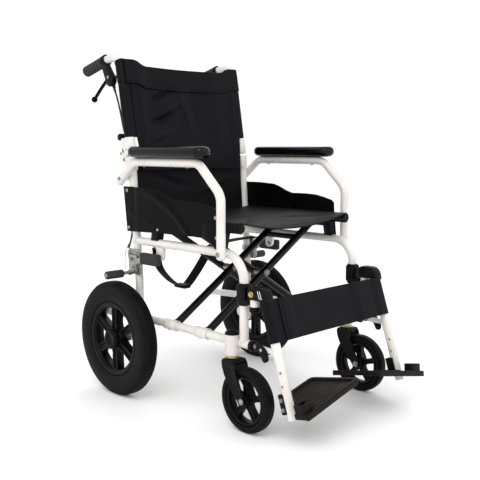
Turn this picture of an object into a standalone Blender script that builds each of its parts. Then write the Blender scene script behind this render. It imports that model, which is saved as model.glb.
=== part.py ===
"""Transport wheelchair with a folding scissor frame and a half-folding back.

Axes: +Z up, the chair faces -Y, X = 0 is the plane of symmetry.
SIDE_RIGHT (-1) is the occupant's right, SIDE_LEFT (+1) the left.
Lengths are metres. Y is measured from the rear axle and Z from the floor;
the empty "chair_origin" then carries everything to the middle of the footprint.
"""
import math

import bmesh
import bpy
from mathutils import Matrix, Vector

# ---------------------------------------------------------------- driving dimensions
FRONT_END_Y = -0.64342            # toe of the footplates, from the rear axle
REAR_END_Y = 0.21488              # end of the push grips, from the rear axle
GAP = 0.0004                      # play between neighbouring solids

TUBE_R = 0.011
TUBE_SIDES = 12
FRAME_X = 0.2086                  # centre plane of the side frames
SEAT_RAIL_Z = 0.4165
LOWER_RAIL_Z = 0.207
LEG_Y = -0.4235
POST_FOOT_Y = -0.021
POST_KNEE_Z = 0.310
POST_TOP = (0.0035, 0.640)        # y, z

REAR_WHEEL_R = 0.155
REAR_WHEEL_X = 0.269
REAR_RIM_R = 0.100
REAR_TYRE_HALF = 0.022
CASTER_R = 0.078
CASTER_RIM_R = 0.060
CASTER_X = 0.2207
CASTER_AXLE_Y = -0.447
SWIVEL_Y = -0.396
HOUSING_R = 0.0175

ARM_X = 0.2347
ARM_Z = 0.629
PAD_HALF_WIDTH = 0.025
PAD_Y = (-0.3256, -0.032)
PAD_Z = (0.6406, 0.669)

SEAT_TUBE_X = 0.200
SEAT_TUBE_Z = 0.477
SEAT_TUBE_Y = (-0.405, -0.036)
SCISSOR_BAR_R = 0.010
SCISSOR_Y = (-0.169, -0.289)      # bars of assembly A; B lies behind each of them
SCISSOR_PAIR_STEP = 0.042
SEAT_TUBE_LIFT = 0.012            # seat tube's axis off the bar's axis, towards the seat
BAR_SHORTFALL = 0.012             # bar's end before the seat tube's middle

HANGER_X = 0.2123
HANGER_PIVOT_Y = -0.462
HANGER_TOP_Z = 0.335
HANGER_FOOT = (-0.580, 0.065)     # y, z
FOOT_HINGE = (0.188, -0.572, 0.083)
FOOT_ROLL = math.radians(12.0)    # inner edge raised
FOOT_PITCH = math.radians(12.0)   # toe raised

BACK_PIVOT = (0.028, 0.634)       # y, z
RELEASE_PIVOT = (0.0480, 0.6500)  # y, z
CANE_FOOT = (0.0060, 0.6465)
CANE_CORNER = (0.0500, 0.9100)
HANDLE_KNEE = (0.1050, 0.9060)
HANDLE_END = (0.2120, 0.8790)
GRIP_R = 0.0150
LEVER_X = 0.1961                   # hand-brake lever, inboard of its perch

SIDE_RIGHT = -1
SIDE_LEFT = 1
SIDE_NAMES = {SIDE_RIGHT: "right", SIDE_LEFT: "left"}

# ---------------------------------------------------------------- materials


def make_material(name, colour, roughness, metallic=0.0):
    material = bpy.data.materials.new(name)
    material.use_nodes = True
    shader = material.node_tree.nodes["Principled BSDF"]
    shader.inputs["Base Color"].default_value = (*colour, 1.0)
    shader.inputs["Roughness"].default_value = roughness
    shader.inputs["Metallic"].default_value = metallic
    material.diffuse_color = (*colour, 1.0)
    return material


def make_materials():
    return {
        "powder_coat": make_material("powder_coat", (0.82, 0.80, 0.77), 0.35),
        "black_plastic": make_material("black_plastic", (0.018, 0.018, 0.019), 0.45),
        "black_paint": make_material("black_paint", (0.015, 0.015, 0.016), 0.35),
        "rubber": make_material("rubber", (0.020, 0.020, 0.020), 0.75),
        "soft_pad": make_material("soft_pad", (0.016, 0.016, 0.017), 0.40),
        "zinc": make_material("zinc", (0.62, 0.62, 0.58), 0.35, 1.0),
        "fabric": make_material("fabric", (0.014, 0.014, 0.016), 0.85),
    }


# ---------------------------------------------------------------- general tools


def clear_scene():
    for obj in list(bpy.data.objects):
        bpy.data.objects.remove(obj, do_unlink=True)


def add_empty(name, location, parent=None):
    empty = bpy.data.objects.new(name, None)
    empty.location = location
    empty.empty_display_size = 0.03
    empty.parent = parent
    bpy.context.scene.collection.objects.link(empty)
    return empty


def finish_mesh(bm, name, material, pivot, smooth=True):
    """Store a bmesh drawn in chair coordinates as an object under a pivot empty."""
    bmesh.ops.remove_doubles(bm, verts=bm.verts, dist=1e-6)
    bmesh.ops.recalc_face_normals(bm, faces=bm.faces)
    place = pivot.location if pivot.parent else Vector((0.0, 0.0, 0.0))
    bmesh.ops.translate(bm, verts=bm.verts, vec=-place)
    mesh = bpy.data.meshes.new(name)
    bm.to_mesh(mesh)
    bm.free()
    if smooth:
        mesh.shade_smooth()
        mesh.set_sharp_from_angle(angle=math.radians(35.0))
    mesh.materials.append(material)
    obj = bpy.data.objects.new(name, mesh)
    obj.parent = pivot
    bpy.context.scene.collection.objects.link(obj)
    return obj


def combine(target, helper, operation):
    """Join a helper solid to the target, or cut it out, and keep the helper as a guide."""
    modifier = target.modifiers.new(f"{operation.lower()}_{helper.name}"[:60], "BOOLEAN")
    modifier.operation = operation
    modifier.solver = "EXACT"
    modifier.object = helper
    helper.hide_render = True
    helper.display_type = "WIRE"


def bevel_edges(obj, width, segments=2, limit=40.0):
    modifier = obj.modifiers.new("bevel", "BEVEL")
    modifier.width = width
    modifier.segments = segments
    modifier.limit_method = "ANGLE"
    modifier.angle_limit = math.radians(limit)


def bent_path(corners, radius, steps=5):
    """Round the inner corners of a polyline with arcs of one radius."""
    points = [Vector(corner) for corner in corners]
    path = [points[0]]
    for before, corner, after in zip(points, points[1:], points[2:]):
        inward = (before - corner).normalized()
        outward = (after - corner).normalized()
        half = inward.angle(outward) / 2.0
        reach = radius / math.tan(half)
        centre = corner + (inward + outward).normalized() * (radius / math.sin(half))
        start = corner + inward * reach - centre
        end = corner + outward * reach - centre
        sweep = start.angle(end)
        normal = start.cross(end).normalized()
        for step in range(steps + 1):
            turn = Matrix.Rotation(sweep * step / steps, 3, normal)
            path.append(centre + turn @ start)
    path.append(points[-1])
    return path


def tube_bmesh(path, radius, sides=TUBE_SIDES):
    """A bevelled curve with filled caps, as a bmesh."""
    curve = bpy.data.curves.new("tube_path", "CURVE")
    curve.dimensions = "3D"
    curve.fill_mode = "FULL"
    curve.bevel_depth = radius
    curve.bevel_resolution = (sides - 4) // 2
    curve.use_fill_caps = True
    spline = curve.splines.new("POLY")
    spline.points.add(len(path) - 1)
    for point, position in zip(spline.points, path):
        point.co = (*position, 1.0)
    carrier = bpy.data.objects.new("tube_path", curve)
    bpy.context.scene.collection.objects.link(carrier)
    bpy.context.view_layer.update()
    evaluated = carrier.evaluated_get(bpy.context.evaluated_depsgraph_get())
    mesh = bpy.data.meshes.new_from_object(evaluated)
    bm = bmesh.new()
    bm.from_mesh(mesh)
    bpy.data.objects.remove(carrier, do_unlink=True)
    bpy.data.curves.remove(curve)
    bpy.data.meshes.remove(mesh)
    return bm


def add_tube(name, path, radius, material, pivot, sides=TUBE_SIDES):
    return finish_mesh(tube_bmesh(path, radius, sides), name, material, pivot)


def turn_profile(bm, profile, centre, axis, sides, closed):
    """Spin (offset along axis, radius) points round an axis through centre."""
    axis = Vector(axis).normalized()
    side = axis.orthogonal().normalized()
    if abs(axis.z) < 0.9:
        side = -axis.cross(Vector((0.0, 0.0, 1.0))).cross(axis).normalized()
    side = Matrix.Rotation(math.pi / sides, 3, axis) @ side
    centre = Vector(centre)
    verts = [bm.verts.new(centre + axis * offset + side * radius) for offset, radius in profile]
    pairs = list(zip(verts, verts[1:]))
    if closed:
        pairs.append((verts[-1], verts[0]))
    edges = [bm.edges.new(pair) for pair in pairs]
    bmesh.ops.spin(bm, geom=verts + edges, cent=centre, axis=axis, angle=2.0 * math.pi,
                   steps=sides, use_duplicate=False)
    bmesh.ops.remove_doubles(bm, verts=bm.verts, dist=1e-6)


def add_turned(name, profile, centre, axis, material, pivot, sides=24, closed=False):
    bm = bmesh.new()
    turn_profile(bm, profile, centre, axis, sides, closed)
    return finish_mesh(bm, name, material, pivot)


def add_cylinder(name, start, end, radius, material, pivot, sides=16):
    start = Vector(start)
    span = Vector(end) - start
    profile = [(0.0, 0.0), (0.0, radius), (span.length, radius), (span.length, 0.0)]
    return add_turned(name, profile, start, span, material, pivot, sides)


def add_box(name, low, high, material, pivot, turn=None, about=None):
    """An axis-parallel box, turned about a point when a rotation is given."""
    low = Vector(low)
    high = Vector(high)
    bm = bmesh.new()
    bmesh.ops.create_cube(bm, size=1.0)
    scale = Vector(abs(high[i] - low[i]) for i in range(3))
    bmesh.ops.scale(bm, verts=bm.verts, vec=scale)
    bmesh.ops.translate(bm, verts=bm.verts, vec=(low + high) / 2.0)
    if turn is not None:
        bmesh.ops.rotate(bm, verts=bm.verts, cent=Vector(about), matrix=turn)
    return finish_mesh(bm, name, material, pivot, smooth=False)


def add_prism(name, outline, span, place, material, pivot):
    """Extrude a closed outline between two offsets; place maps (u, v, offset) to chair axes."""
    bm = bmesh.new()
    first = [bm.verts.new(place(u, v, span[0])) for u, v in outline]
    face = bm.faces.new(first)
    extruded = bmesh.ops.extrude_face_region(bm, geom=[face])
    fresh = [item for item in extruded["geom"] if isinstance(item, bmesh.types.BMVert)]
    rise = Vector(place(0.0, 0.0, span[1])) - Vector(place(0.0, 0.0, span[0]))
    bmesh.ops.translate(bm, verts=fresh, vec=rise)
    return finish_mesh(bm, name, material, pivot, smooth=False)


def side_plane(side):
    """Outline (y, z) extruded along X on one side of the chair."""
    return lambda u, v, offset: (side * offset, u, v)


def arc_points(centre, radius, start, end, steps):
    angles = [math.radians(start + (end - start) * i / steps) for i in range(steps + 1)]
    return [(centre[0] + radius * math.cos(a), centre[1] + radius * math.sin(a)) for a in angles]


def link_outline(start, end, start_r, end_r, steps=5):
    """Outline of a flat link: two round ends joined by straight flanks."""
    heading = math.degrees(math.atan2(end[1] - start[1], end[0] - start[0]))
    outline = arc_points(end, end_r, heading - 90.0, heading + 90.0, steps)
    return outline + arc_points(start, start_r, heading + 90.0, heading + 270.0, steps)


# ---------------------------------------------------------------- side frame


def post_y(z):
    """Y of the rear post's centre line at a height above its knee."""
    lean = (POST_TOP[0] - POST_FOOT_Y) / (POST_TOP[1] - POST_KNEE_Z)
    return POST_FOOT_Y + max(0.0, z - POST_KNEE_Z) * lean


def make_rear_post(side, mats, pivot):
    """Post with its axle boss, tipping tube and the fixed half of the back hinge."""
    tag = SIDE_NAMES[side]
    white = mats["powder_coat"]
    x = side * FRAME_X
    path = [(x, POST_FOOT_Y, 0.132), (x, POST_FOOT_Y, POST_KNEE_Z), (x, *POST_TOP)]
    post = add_tube(f"rear_post_{tag}", path, TUBE_R, white, pivot)
    boss = add_cylinder(f"axle_boss_{tag}", (side * 0.196, 0.0, REAR_WHEEL_R),
                        (side * 0.2356, 0.0, REAR_WHEEL_R), 0.0150, white, pivot)
    tip_path = [(x, POST_FOOT_Y, LOWER_RAIL_Z), (x, 0.162, 0.197)]
    tip = add_tube(f"tipping_tube_{tag}", tip_path, 0.0105, white, pivot)
    along = Vector((0.0, POST_TOP[0] - POST_FOOT_Y, POST_TOP[1] - POST_KNEE_Z)).normalized()
    sleeve_top = Vector((x, *POST_TOP)) + along * 0.0015
    sleeve = add_cylinder(f"hinge_sleeve_{tag}", sleeve_top - along * 0.036, sleeve_top,
                          0.0145, white, pivot)
    combine(post, boss, "UNION")
    combine(post, tip, "UNION")
    combine(post, sleeve, "UNION")
    for offset, label in ((0.0050, "inner"), (-0.0085, "outer")):
        outline = link_outline((0.010, 0.6225), BACK_PIVOT, 0.0088, 0.0086)
        cheek = add_prism(f"hinge_cheek_{label}_{tag}", outline,
                          (FRAME_X + offset, FRAME_X + offset + 0.0035),
                          side_plane(side), white, pivot)
        combine(post, cheek, "UNION")
    hinge_pin = add_cylinder(f"hinge_pin_{tag}", (side * (FRAME_X - 0.0105), *BACK_PIVOT),
                             (side * (FRAME_X + 0.0105), *BACK_PIVOT), 0.0030, mats["zinc"],
                             pivot, 10)
    combine(post, hinge_pin, "UNION")
    return post


def make_seat_rail(side, mats, pivot):
    """Upper rail that bends down into the front leg."""
    x = side * FRAME_X
    start = post_y(SEAT_RAIL_Z - TUBE_R) - TUBE_R - GAP
    corners = [(x, start, SEAT_RAIL_Z), (x, LEG_Y, SEAT_RAIL_Z),
               (x, LEG_Y, LOWER_RAIL_Z + TUBE_R + GAP)]
    path = bent_path(corners, 0.064, 6)
    return add_tube(f"seat_rail_{SIDE_NAMES[side]}", path, TUBE_R, mats["powder_coat"], pivot)


def make_lower_rail(side, mats, pivot):
    """Lower rail with the caster housing and the footrest's front pin."""
    tag = SIDE_NAMES[side]
    start = Vector((side * FRAME_X, POST_FOOT_Y - TUBE_R - GAP, LOWER_RAIL_Z))
    ring = -0.447 - start.y
    tip = -0.4755 - start.y
    profile = [(0.0, 0.0), (0.0, TUBE_R), (-ring, TUBE_R), (-ring, 0.0130),
               (-ring + 0.011, 0.0130), (-ring + 0.011, 0.0072), (-tip, 0.0072), (-tip, 0.0)]
    rail = add_turned(f"lower_rail_{tag}", profile, start, (0, -1, 0), mats["powder_coat"],
                      pivot, TUBE_SIDES)
    housing = add_cylinder(f"caster_housing_{tag}", (side * CASTER_X, SWIVEL_Y, 0.177),
                           (side * CASTER_X, SWIVEL_Y, 0.2276), HOUSING_R,
                           mats["powder_coat"], pivot)
    combine(rail, housing, "UNION")
    return rail


def make_arm_tube(side, mats, pivot):
    """Bent armrest tube outside the side frame."""
    x = side * ARM_X
    corners = [(x, 0.0246, 0.574), (x, -0.044, ARM_Z), (x, -0.295, ARM_Z),
               (x, -0.3726, 0.555), (x, -0.3726, 0.402)]
    path = bent_path(corners, 0.045, 4)
    return add_tube(f"arm_tube_{SIDE_NAMES[side]}", path, TUBE_R, mats["powder_coat"], pivot)


def make_arm_pad(side, mats, pivot):
    """Moulded arm pad with round ends."""
    front, rear = PAD_Y
    round_r = PAD_HALF_WIDTH
    x = ARM_X + 0.001
    outline = arc_points((x, rear - round_r), round_r, 0, 180, 6)
    outline += arc_points((x, front + round_r), round_r, 180, 360, 6)
    pad = add_prism(f"arm_pad_{SIDE_NAMES[side]}", outline, PAD_Z,
                    lambda u, v, offset: (side * u, v, offset), mats["soft_pad"], pivot)
    bevel_edges(pad, 0.008)
    return pad


def make_skirt_guard(side, mats, pivot):
    """Moulded side panel between the seat and the armrest."""
    outline = [(0.026, 0.562), (-0.117, 0.559), (-0.153, 0.548), (-0.192, 0.534),
               (-0.2435, 0.535), (-0.300, 0.531), (-0.347, 0.517), (-0.351, 0.440),
               (-0.343, 0.427), (-0.330, 0.434), (-0.318, 0.447), (-0.259, 0.448),
               (-0.137, 0.446), (0.012, 0.441)]
    return add_prism(f"skirt_guard_{SIDE_NAMES[side]}", outline, (0.2201, 0.2232),
                     side_plane(side), mats["black_plastic"], pivot)


# ---------------------------------------------------------------- wheels


def wheel_spokes(rim, name, count, centre, side, inner, outer, half_width, thickness, mats, pivot):
    """Radial bars joined to a rim and its hub."""
    for index in range(count):
        turn = Matrix.Rotation(2.0 * math.pi * index / count, 3, "X")
        low = (centre[0] - half_width, centre[1] - thickness, centre[2] + inner)
        high = (centre[0] + half_width, centre[1] + thickness, centre[2] + outer)
        spoke = add_box(f"{name}_spoke_{index}_{SIDE_NAMES[side]}", low, high,
                        mats["black_plastic"], pivot, turn, centre)
        combine(rim, spoke, "UNION")


def make_rear_wheel(side, mats, pivot, frame_pivot):
    """Twelve-inch wheel: tyre, spoked rim with a blind hub, and the fixed axle."""
    tag = SIDE_NAMES[side]
    sides = 36
    stretch = 1.0 / math.cos(math.pi / sides)
    centre = Vector((side * REAR_WHEEL_X, 0.0, REAR_WHEEL_R))
    half = REAR_TYRE_HALF
    tyre = [(-0.015, REAR_RIM_R + GAP), (0.015, REAR_RIM_R + GAP), (half, 0.112), (half, 0.138),
            (0.014, 0.151), (0.007, REAR_WHEEL_R), (-0.007, REAR_WHEEL_R), (-0.014, 0.151),
            (-half, 0.138), (-half, 0.112)]
    tyre = [(offset, radius * stretch) for offset, radius in tyre]
    add_turned(f"rear_tyre_{tag}", tyre, centre, (side, 0, 0), mats["rubber"], pivot, sides, True)
    ring = [(-0.018, 0.086), (0.018, 0.086), (0.018, 0.0992), (0.0, REAR_RIM_R), (-0.018, 0.0992)]
    rim = add_turned(f"rear_rim_{tag}", ring, centre, (side, 0, 0), mats["black_plastic"], pivot,
                     sides, True)
    hub = [(0.030, 0.0), (0.030, 0.0215), (0.026, 0.0270), (0.014, 0.0270), (-0.028, 0.0230),
           (-0.028, 0.0068), (0.0225, 0.0068), (0.0225, 0.0)]
    hub = add_turned(f"rear_hub_{tag}", hub, centre, (side, 0, 0), mats["black_plastic"], pivot, 16)
    combine(rim, hub, "UNION")
    wheel_spokes(rim, "rear", 6, centre, side, 0.019, 0.092, 0.010, 0.0075, mats, pivot)
    add_cylinder(f"rear_axle_{tag}", (side * 0.2361, 0.0, REAR_WHEEL_R),
                 (side * 0.2908, 0.0, REAR_WHEEL_R), 0.0062, mats["zinc"], frame_pivot, 12)


def make_caster_fork(side, mats, pivot):
    """Fork with its crown, stem collar and axle bolt."""
    tag = SIDE_NAMES[side]
    x = side * CASTER_X
    black = mats["black_plastic"]
    fork = add_box(f"caster_fork_{tag}", (x - 0.0222, SWIVEL_Y - 0.024, 0.1585),
                   (x + 0.0222, SWIVEL_Y + 0.0150, 0.1705), black, pivot)
    collar = add_cylinder(f"fork_collar_{tag}", (x, SWIVEL_Y, 0.169), (x, SWIVEL_Y, 0.1766),
                          0.0150, black, pivot)
    combine(fork, collar, "UNION")
    outline = arc_points((CASTER_AXLE_Y, CASTER_R), 0.0115, 200, 350, 5)
    outline += [(SWIVEL_Y + 0.0130, 0.148), (SWIVEL_Y + 0.0145, 0.1700),
                (SWIVEL_Y - 0.0235, 0.1700), (SWIVEL_Y - 0.030, 0.140)]
    for inner, label in ((0.0180, "outer"), (-0.0220, "inner")):
        blade = add_prism(f"fork_blade_{label}_{tag}", outline,
                          (CASTER_X + inner, CASTER_X + inner + 0.0040), side_plane(side),
                          black, pivot)
        combine(fork, blade, "UNION")
    bolt = add_cylinder(f"caster_bolt_{tag}", (x - 0.0265, CASTER_AXLE_Y, CASTER_R),
                        (x + 0.0265, CASTER_AXLE_Y, CASTER_R), 0.0045, mats["zinc"], pivot, 10)
    combine(fork, bolt, "UNION")
    return fork


def make_caster_wheel(side, mats, pivot):
    """Six-inch caster wheel: solid tyre on a five-spoke rim."""
    tag = SIDE_NAMES[side]
    sides = 24
    stretch = 1.0 / math.cos(math.pi / sides)
    centre = Vector((side * CASTER_X, CASTER_AXLE_Y, CASTER_R))
    tyre = [(-0.011, CASTER_RIM_R + GAP), (0.011, CASTER_RIM_R + GAP), (0.015, 0.066),
            (0.0125, 0.0750), (0.005, CASTER_R), (-0.005, CASTER_R), (-0.0125, 0.0750),
            (-0.015, 0.066)]
    tyre = [(offset, radius * stretch) for offset, radius in tyre]
    add_turned(f"caster_tyre_{tag}", tyre, centre, (1, 0, 0), mats["rubber"], pivot, sides, True)
    ring = [(-0.012, 0.0490), (0.012, 0.0490), (0.012, 0.0594), (0.0, CASTER_RIM_R),
            (-0.012, 0.0594)]
    rim = add_turned(f"caster_rim_{tag}", ring, centre, (1, 0, 0), mats["black_plastic"], pivot,
                     sides, True)
    hub = [(-0.0165, 0.0052), (0.0165, 0.0052), (0.0165, 0.0140), (-0.0165, 0.0140)]
    hub = add_turned(f"caster_hub_{tag}", hub, centre, (1, 0, 0), mats["black_plastic"], pivot,
                     12, True)
    combine(rim, hub, "UNION")
    wheel_spokes(rim, "caster", 5, centre, side, 0.012, 0.054, 0.0075, 0.0050, mats, pivot)


# ---------------------------------------------------------------- scissor and seat


def bar_angle_and_length():
    """Slope of the crossbars and the run of their axis up to the seat tube's middle."""
    width = FRAME_X + SEAT_TUBE_X
    rise = SEAT_TUBE_Z - LOWER_RAIL_Z
    span = math.hypot(width, rise)
    angle = math.atan2(rise, width) - math.asin(SEAT_TUBE_LIFT / span)
    return angle, math.sqrt(span ** 2 - SEAT_TUBE_LIFT ** 2)


def bar_point(foot_side, y, run):
    """Point of a crossbar's axis at a distance from the lower rail's axis."""
    angle, _ = bar_angle_and_length()
    return Vector((foot_side * (FRAME_X - run * math.cos(angle)), y,
                   LOWER_RAIL_Z + run * math.sin(angle)))


def pivot_height():
    """Height of the pins where the two crossbars of a pair meet."""
    angle, _ = bar_angle_and_length()
    return LOWER_RAIL_Z + FRAME_X * math.tan(angle)


def make_scissor(name, foot_side, bar_offset, mats, pivot):
    """Two crossbars with sleeves on one lower rail, and necks up to the seat tube."""
    black = mats["black_paint"]
    foot_x = foot_side * FRAME_X
    seat_x = -foot_side * SEAT_TUBE_X
    bar_top = bar_angle_and_length()[1] - BAR_SHORTFALL
    seat_tube = add_cylinder(name, (seat_x, SEAT_TUBE_Y[0], SEAT_TUBE_Z),
                             (seat_x, SEAT_TUBE_Y[1], SEAT_TUBE_Z), TUBE_R, black, pivot, 12)
    sleeves = []
    for index, base_y in enumerate(SCISSOR_Y):
        y = base_y + bar_offset
        bar = add_cylinder(f"{name}_bar_{index}", bar_point(foot_side, y, TUBE_R + 0.0015),
                           bar_point(foot_side, y, bar_top), SCISSOR_BAR_R, black, pivot, 12)
        combine(seat_tube, bar, "UNION")
        neck = add_cylinder(f"{name}_neck_{index}", bar_point(foot_side, y, bar_top - 0.008),
                            (seat_x, y, SEAT_TUBE_Z), 0.0070, black, pivot, 12)
        combine(seat_tube, neck, "UNION")
        sleeve_y = (y - 0.012, y + 0.034)
        sleeves.append(add_cylinder(f"{name}_sleeve_{index}", (foot_x, sleeve_y[0], LOWER_RAIL_Z),
                                    (foot_x, sleeve_y[1], LOWER_RAIL_Z), 0.0150, black, pivot))
    for sleeve in sleeves:
        combine(seat_tube, sleeve, "UNION")
    bore = add_cylinder(f"{name}_rail_bore", (foot_x, -0.40, LOWER_RAIL_Z),
                        (foot_x, -0.07, LOWER_RAIL_Z), TUBE_R + 0.0006, black, pivot)
    combine(seat_tube, bore, "DIFFERENCE")
    return seat_tube


def make_scissors(mats, pivot_a, pivot_b):
    """Both crossbar assemblies; A carries the pins and the rear tie, B the pin holes."""
    first = make_scissor("scissor_a", SIDE_RIGHT, 0.0, mats, pivot_a)
    second = make_scissor("scissor_b", SIDE_LEFT, SCISSOR_PAIR_STEP, mats, pivot_b)
    centre_z = pivot_height()
    for index, y in enumerate(SCISSOR_Y):
        pin = add_cylinder(f"pivot_pin_{index}", (0.0, y, centre_z),
                           (0.0, y + SCISSOR_PAIR_STEP + 0.0145, centre_z), 0.0045,
                           mats["zinc"], pivot_a, 10)
        spacer = add_cylinder(f"pivot_spacer_{index}", (0.0, y + 0.005, centre_z),
                              (0.0, y + SCISSOR_PAIR_STEP - SCISSOR_BAR_R - GAP, centre_z),
                              0.0080, mats["zinc"], pivot_a, 12)
        combine(first, spacer, "UNION")
        combine(first, pin, "UNION")
        hole = add_cylinder(f"pivot_hole_{index}", (0.0, y + 0.005, centre_z),
                            (0.0, y + SCISSOR_PAIR_STEP + 0.02, centre_z), 0.0053,
                            mats["zinc"], pivot_b, 12)
        combine(second, hole, "DIFFERENCE")
    tie = bar_point(SIDE_RIGHT, 0.0, bar_angle_and_length()[1] * 0.82)
    tie_bar = add_cylinder("scissor_tie", (tie.x, SCISSOR_Y[0], tie.z),
                           (tie.x, SCISSOR_Y[1], tie.z), 0.0075, mats["black_paint"], pivot_a, 10)
    combine(first, tie_bar, "UNION")


def make_seat(mats, pivot):
    """Sling seat between the seat tubes, sagging a little in the middle."""
    half = SEAT_TUBE_X - TUBE_R - 0.0015
    sag = 0.012
    stations = [-1.0, -0.5, 0.0, 0.5, 1.0]
    top = [(half * t, SEAT_TUBE_Z + TUBE_R + 0.001 - sag * (1.0 - t * t)) for t in stations]
    bottom = [(u, v - 0.006) for u, v in reversed(top)]
    add_prism("seat_sling", top + bottom, (-0.400, -0.036),
              lambda u, v, offset: (u, offset, v), mats["fabric"], pivot)


# ---------------------------------------------------------------- back


def cane_point(z):
    """Y of the back cane's centre line at a height."""
    rise = (z - CANE_FOOT[1]) / (CANE_CORNER[1] - CANE_FOOT[1])
    return CANE_FOOT[0] + rise * (CANE_CORNER[0] - CANE_FOOT[0])


def make_back_cane(side, mats, pivot):
    """Upper cane with the push handle and the moving half of the back hinge."""
    tag = SIDE_NAMES[side]
    x = side * FRAME_X
    corners = [(x, *CANE_FOOT), (x, *CANE_CORNER), (x, *HANDLE_KNEE),
               (x, HANDLE_END[0] - 0.012, HANDLE_END[1] + 0.003)]
    cane = add_tube(f"back_cane_{tag}", bent_path(corners, 0.032, 4), TUBE_R,
                    mats["powder_coat"], pivot)
    outline = arc_points(BACK_PIVOT, 0.0078, 180, 330, 5)
    outline += [(0.0358, 0.650), (0.022, 0.662), (0.006, 0.668), (0.004, 0.648), (0.0202, 0.644)]
    tongue = add_prism(f"hinge_tongue_{tag}", outline, (FRAME_X - 0.0042, FRAME_X + 0.0042),
                       side_plane(side), mats["powder_coat"], pivot)
    arm = add_prism(f"release_arm_{tag}", link_outline((0.0300, 0.6400), RELEASE_PIVOT,
                                                       0.0060, 0.0050),
                    (FRAME_X - 0.0038, FRAME_X + 0.0038), side_plane(side),
                    mats["powder_coat"], pivot)
    bore = add_cylinder(f"tongue_bore_{tag}", (side * (FRAME_X - 0.0100), *BACK_PIVOT),
                        (side * (FRAME_X + 0.0100), *BACK_PIVOT), 0.0037,
                        mats["powder_coat"], pivot, 12)
    combine(cane, tongue, "UNION")
    combine(cane, arm, "UNION")
    combine(cane, bore, "DIFFERENCE")
    return cane


def handle_direction(side):
    start = Vector((side * FRAME_X, *HANDLE_KNEE))
    end = Vector((side * FRAME_X, *HANDLE_END))
    return start, (end - start).normalized(), (end - start).length


def make_push_grip(side, mats, pivot):
    """Rubber grip closed at its rear end, with a blind bore for the cane."""
    start, heading, length = handle_direction(side)
    bore = TUBE_R + GAP
    profile = [(0.024, bore), (0.024, GRIP_R), (length - 0.003, GRIP_R), (length, GRIP_R - 0.003),
               (length, 0.0), (length - 0.010, 0.0), (length - 0.010, bore)]
    add_turned(f"push_grip_{SIDE_NAMES[side]}", profile + [profile[0]], start, heading,
               mats["rubber"], pivot, 16)


def make_handbrake_body(side, mats, pivot):
    """Clamp round the handle tube with the lever's perch below it."""
    tag = SIDE_NAMES[side]
    start, heading, _ = handle_direction(side)
    body = add_cylinder(f"handbrake_body_{tag}", start + heading * 0.004,
                        start + heading * 0.0235, 0.0160, mats["black_plastic"], pivot)
    perch_top = (start.y + 0.010, start.z - 0.0165)
    perch = add_prism(f"handbrake_perch_{tag}", link_outline((0.0885, 0.8450), perch_top,
                                                             0.0120, 0.0075),
                      (FRAME_X - 0.0070, FRAME_X + 0.0070), side_plane(side),
                      mats["black_plastic"], pivot)
    tunnel = add_cylinder(f"handbrake_bore_{tag}", start - heading * 0.0020,
                          start + heading * 0.0300, TUBE_R + GAP, mats["black_plastic"], pivot)
    combine(body, perch, "UNION")
    combine(body, tunnel, "DIFFERENCE")
    return body


def make_handbrake_lever(side, mats, pivot):
    """Curved lever with a ball end, inboard of its perch."""
    tag = SIDE_NAMES[side]
    x = side * LEVER_X
    corners = [(x, 0.0960, 0.8570), (x, 0.1290, 0.8530), (x, 0.1560, 0.8330), (x, 0.1880, 0.8060)]
    lever = add_tube(f"handbrake_lever_{tag}", bent_path(corners, 0.030, 3), 0.0048,
                     mats["black_plastic"], pivot, 8)
    ball = bmesh.new()
    bmesh.ops.create_uvsphere(ball, u_segments=12, v_segments=8, radius=0.0085)
    bmesh.ops.translate(ball, verts=ball.verts, vec=(x, 0.1930, 0.8018))
    ball = finish_mesh(ball, f"lever_ball_{tag}", mats["black_plastic"], pivot)
    combine(lever, ball, "UNION")
    return lever


def make_release_lever(side, mats, pivot):
    """Lever with a round knob that frees the back hinge."""
    tag = SIDE_NAMES[side]
    lever = add_prism(f"release_lever_{tag}", link_outline(RELEASE_PIVOT, (0.0545, 0.6890),
                                                           0.0050, 0.0035),
                      (FRAME_X - 0.0085, FRAME_X - 0.0045), side_plane(side),
                      mats["black_plastic"], pivot)
    knob = add_cylinder(f"release_knob_{tag}", (side * (FRAME_X - 0.0140), 0.0560, 0.6940),
                        (side * (FRAME_X + 0.0040), 0.0560, 0.6940), 0.0100,
                        mats["black_plastic"], pivot, 14)
    combine(lever, knob, "UNION")
    return lever


def brake_cable_route(side):
    """Cable from the hand lever's perch, behind the cane, to the parking brake."""
    return [Vector((side * x, y, z)) for x, y, z in (
        (0.2086, 0.0800, 0.8300), (0.2080, 0.0660, 0.7980), (0.2060, 0.0540, 0.7560),
        (0.2035, 0.0440, 0.7120), (0.1935, 0.0360, 0.6740), (0.1895, 0.0260, 0.6400),
        (0.1915, 0.0190, 0.6000), (0.1985, 0.0140, 0.5500), (0.2040, 0.0110, 0.5000),
        (0.2075, 0.0085, 0.4500), (0.2135, 0.0070, 0.4180), (0.2250, 0.0050, 0.3960))]


def smooth_curve(points, steps):
    """Read a Catmull-Rom curve through the points."""
    padded = [points[0] * 2 - points[1]] + points + [points[-1] * 2 - points[-2]]
    curve = []
    for a, b, c, d in zip(padded, padded[1:], padded[2:], padded[3:]):
        for step in range(steps):
            t = step / steps
            curve.append(0.5 * (2 * b + (c - a) * t + (2 * a - 5 * b + 4 * c - d) * t * t
                                + (3 * b - a - 3 * c + d) * t ** 3))
    curve.append(points[-1])
    return curve


def make_brake_cable(side, mats, pivot):
    add_tube(f"brake_cable_{SIDE_NAMES[side]}", smooth_curve(brake_cable_route(side), 2), 0.0026,
             mats["black_plastic"], pivot, 8)


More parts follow.
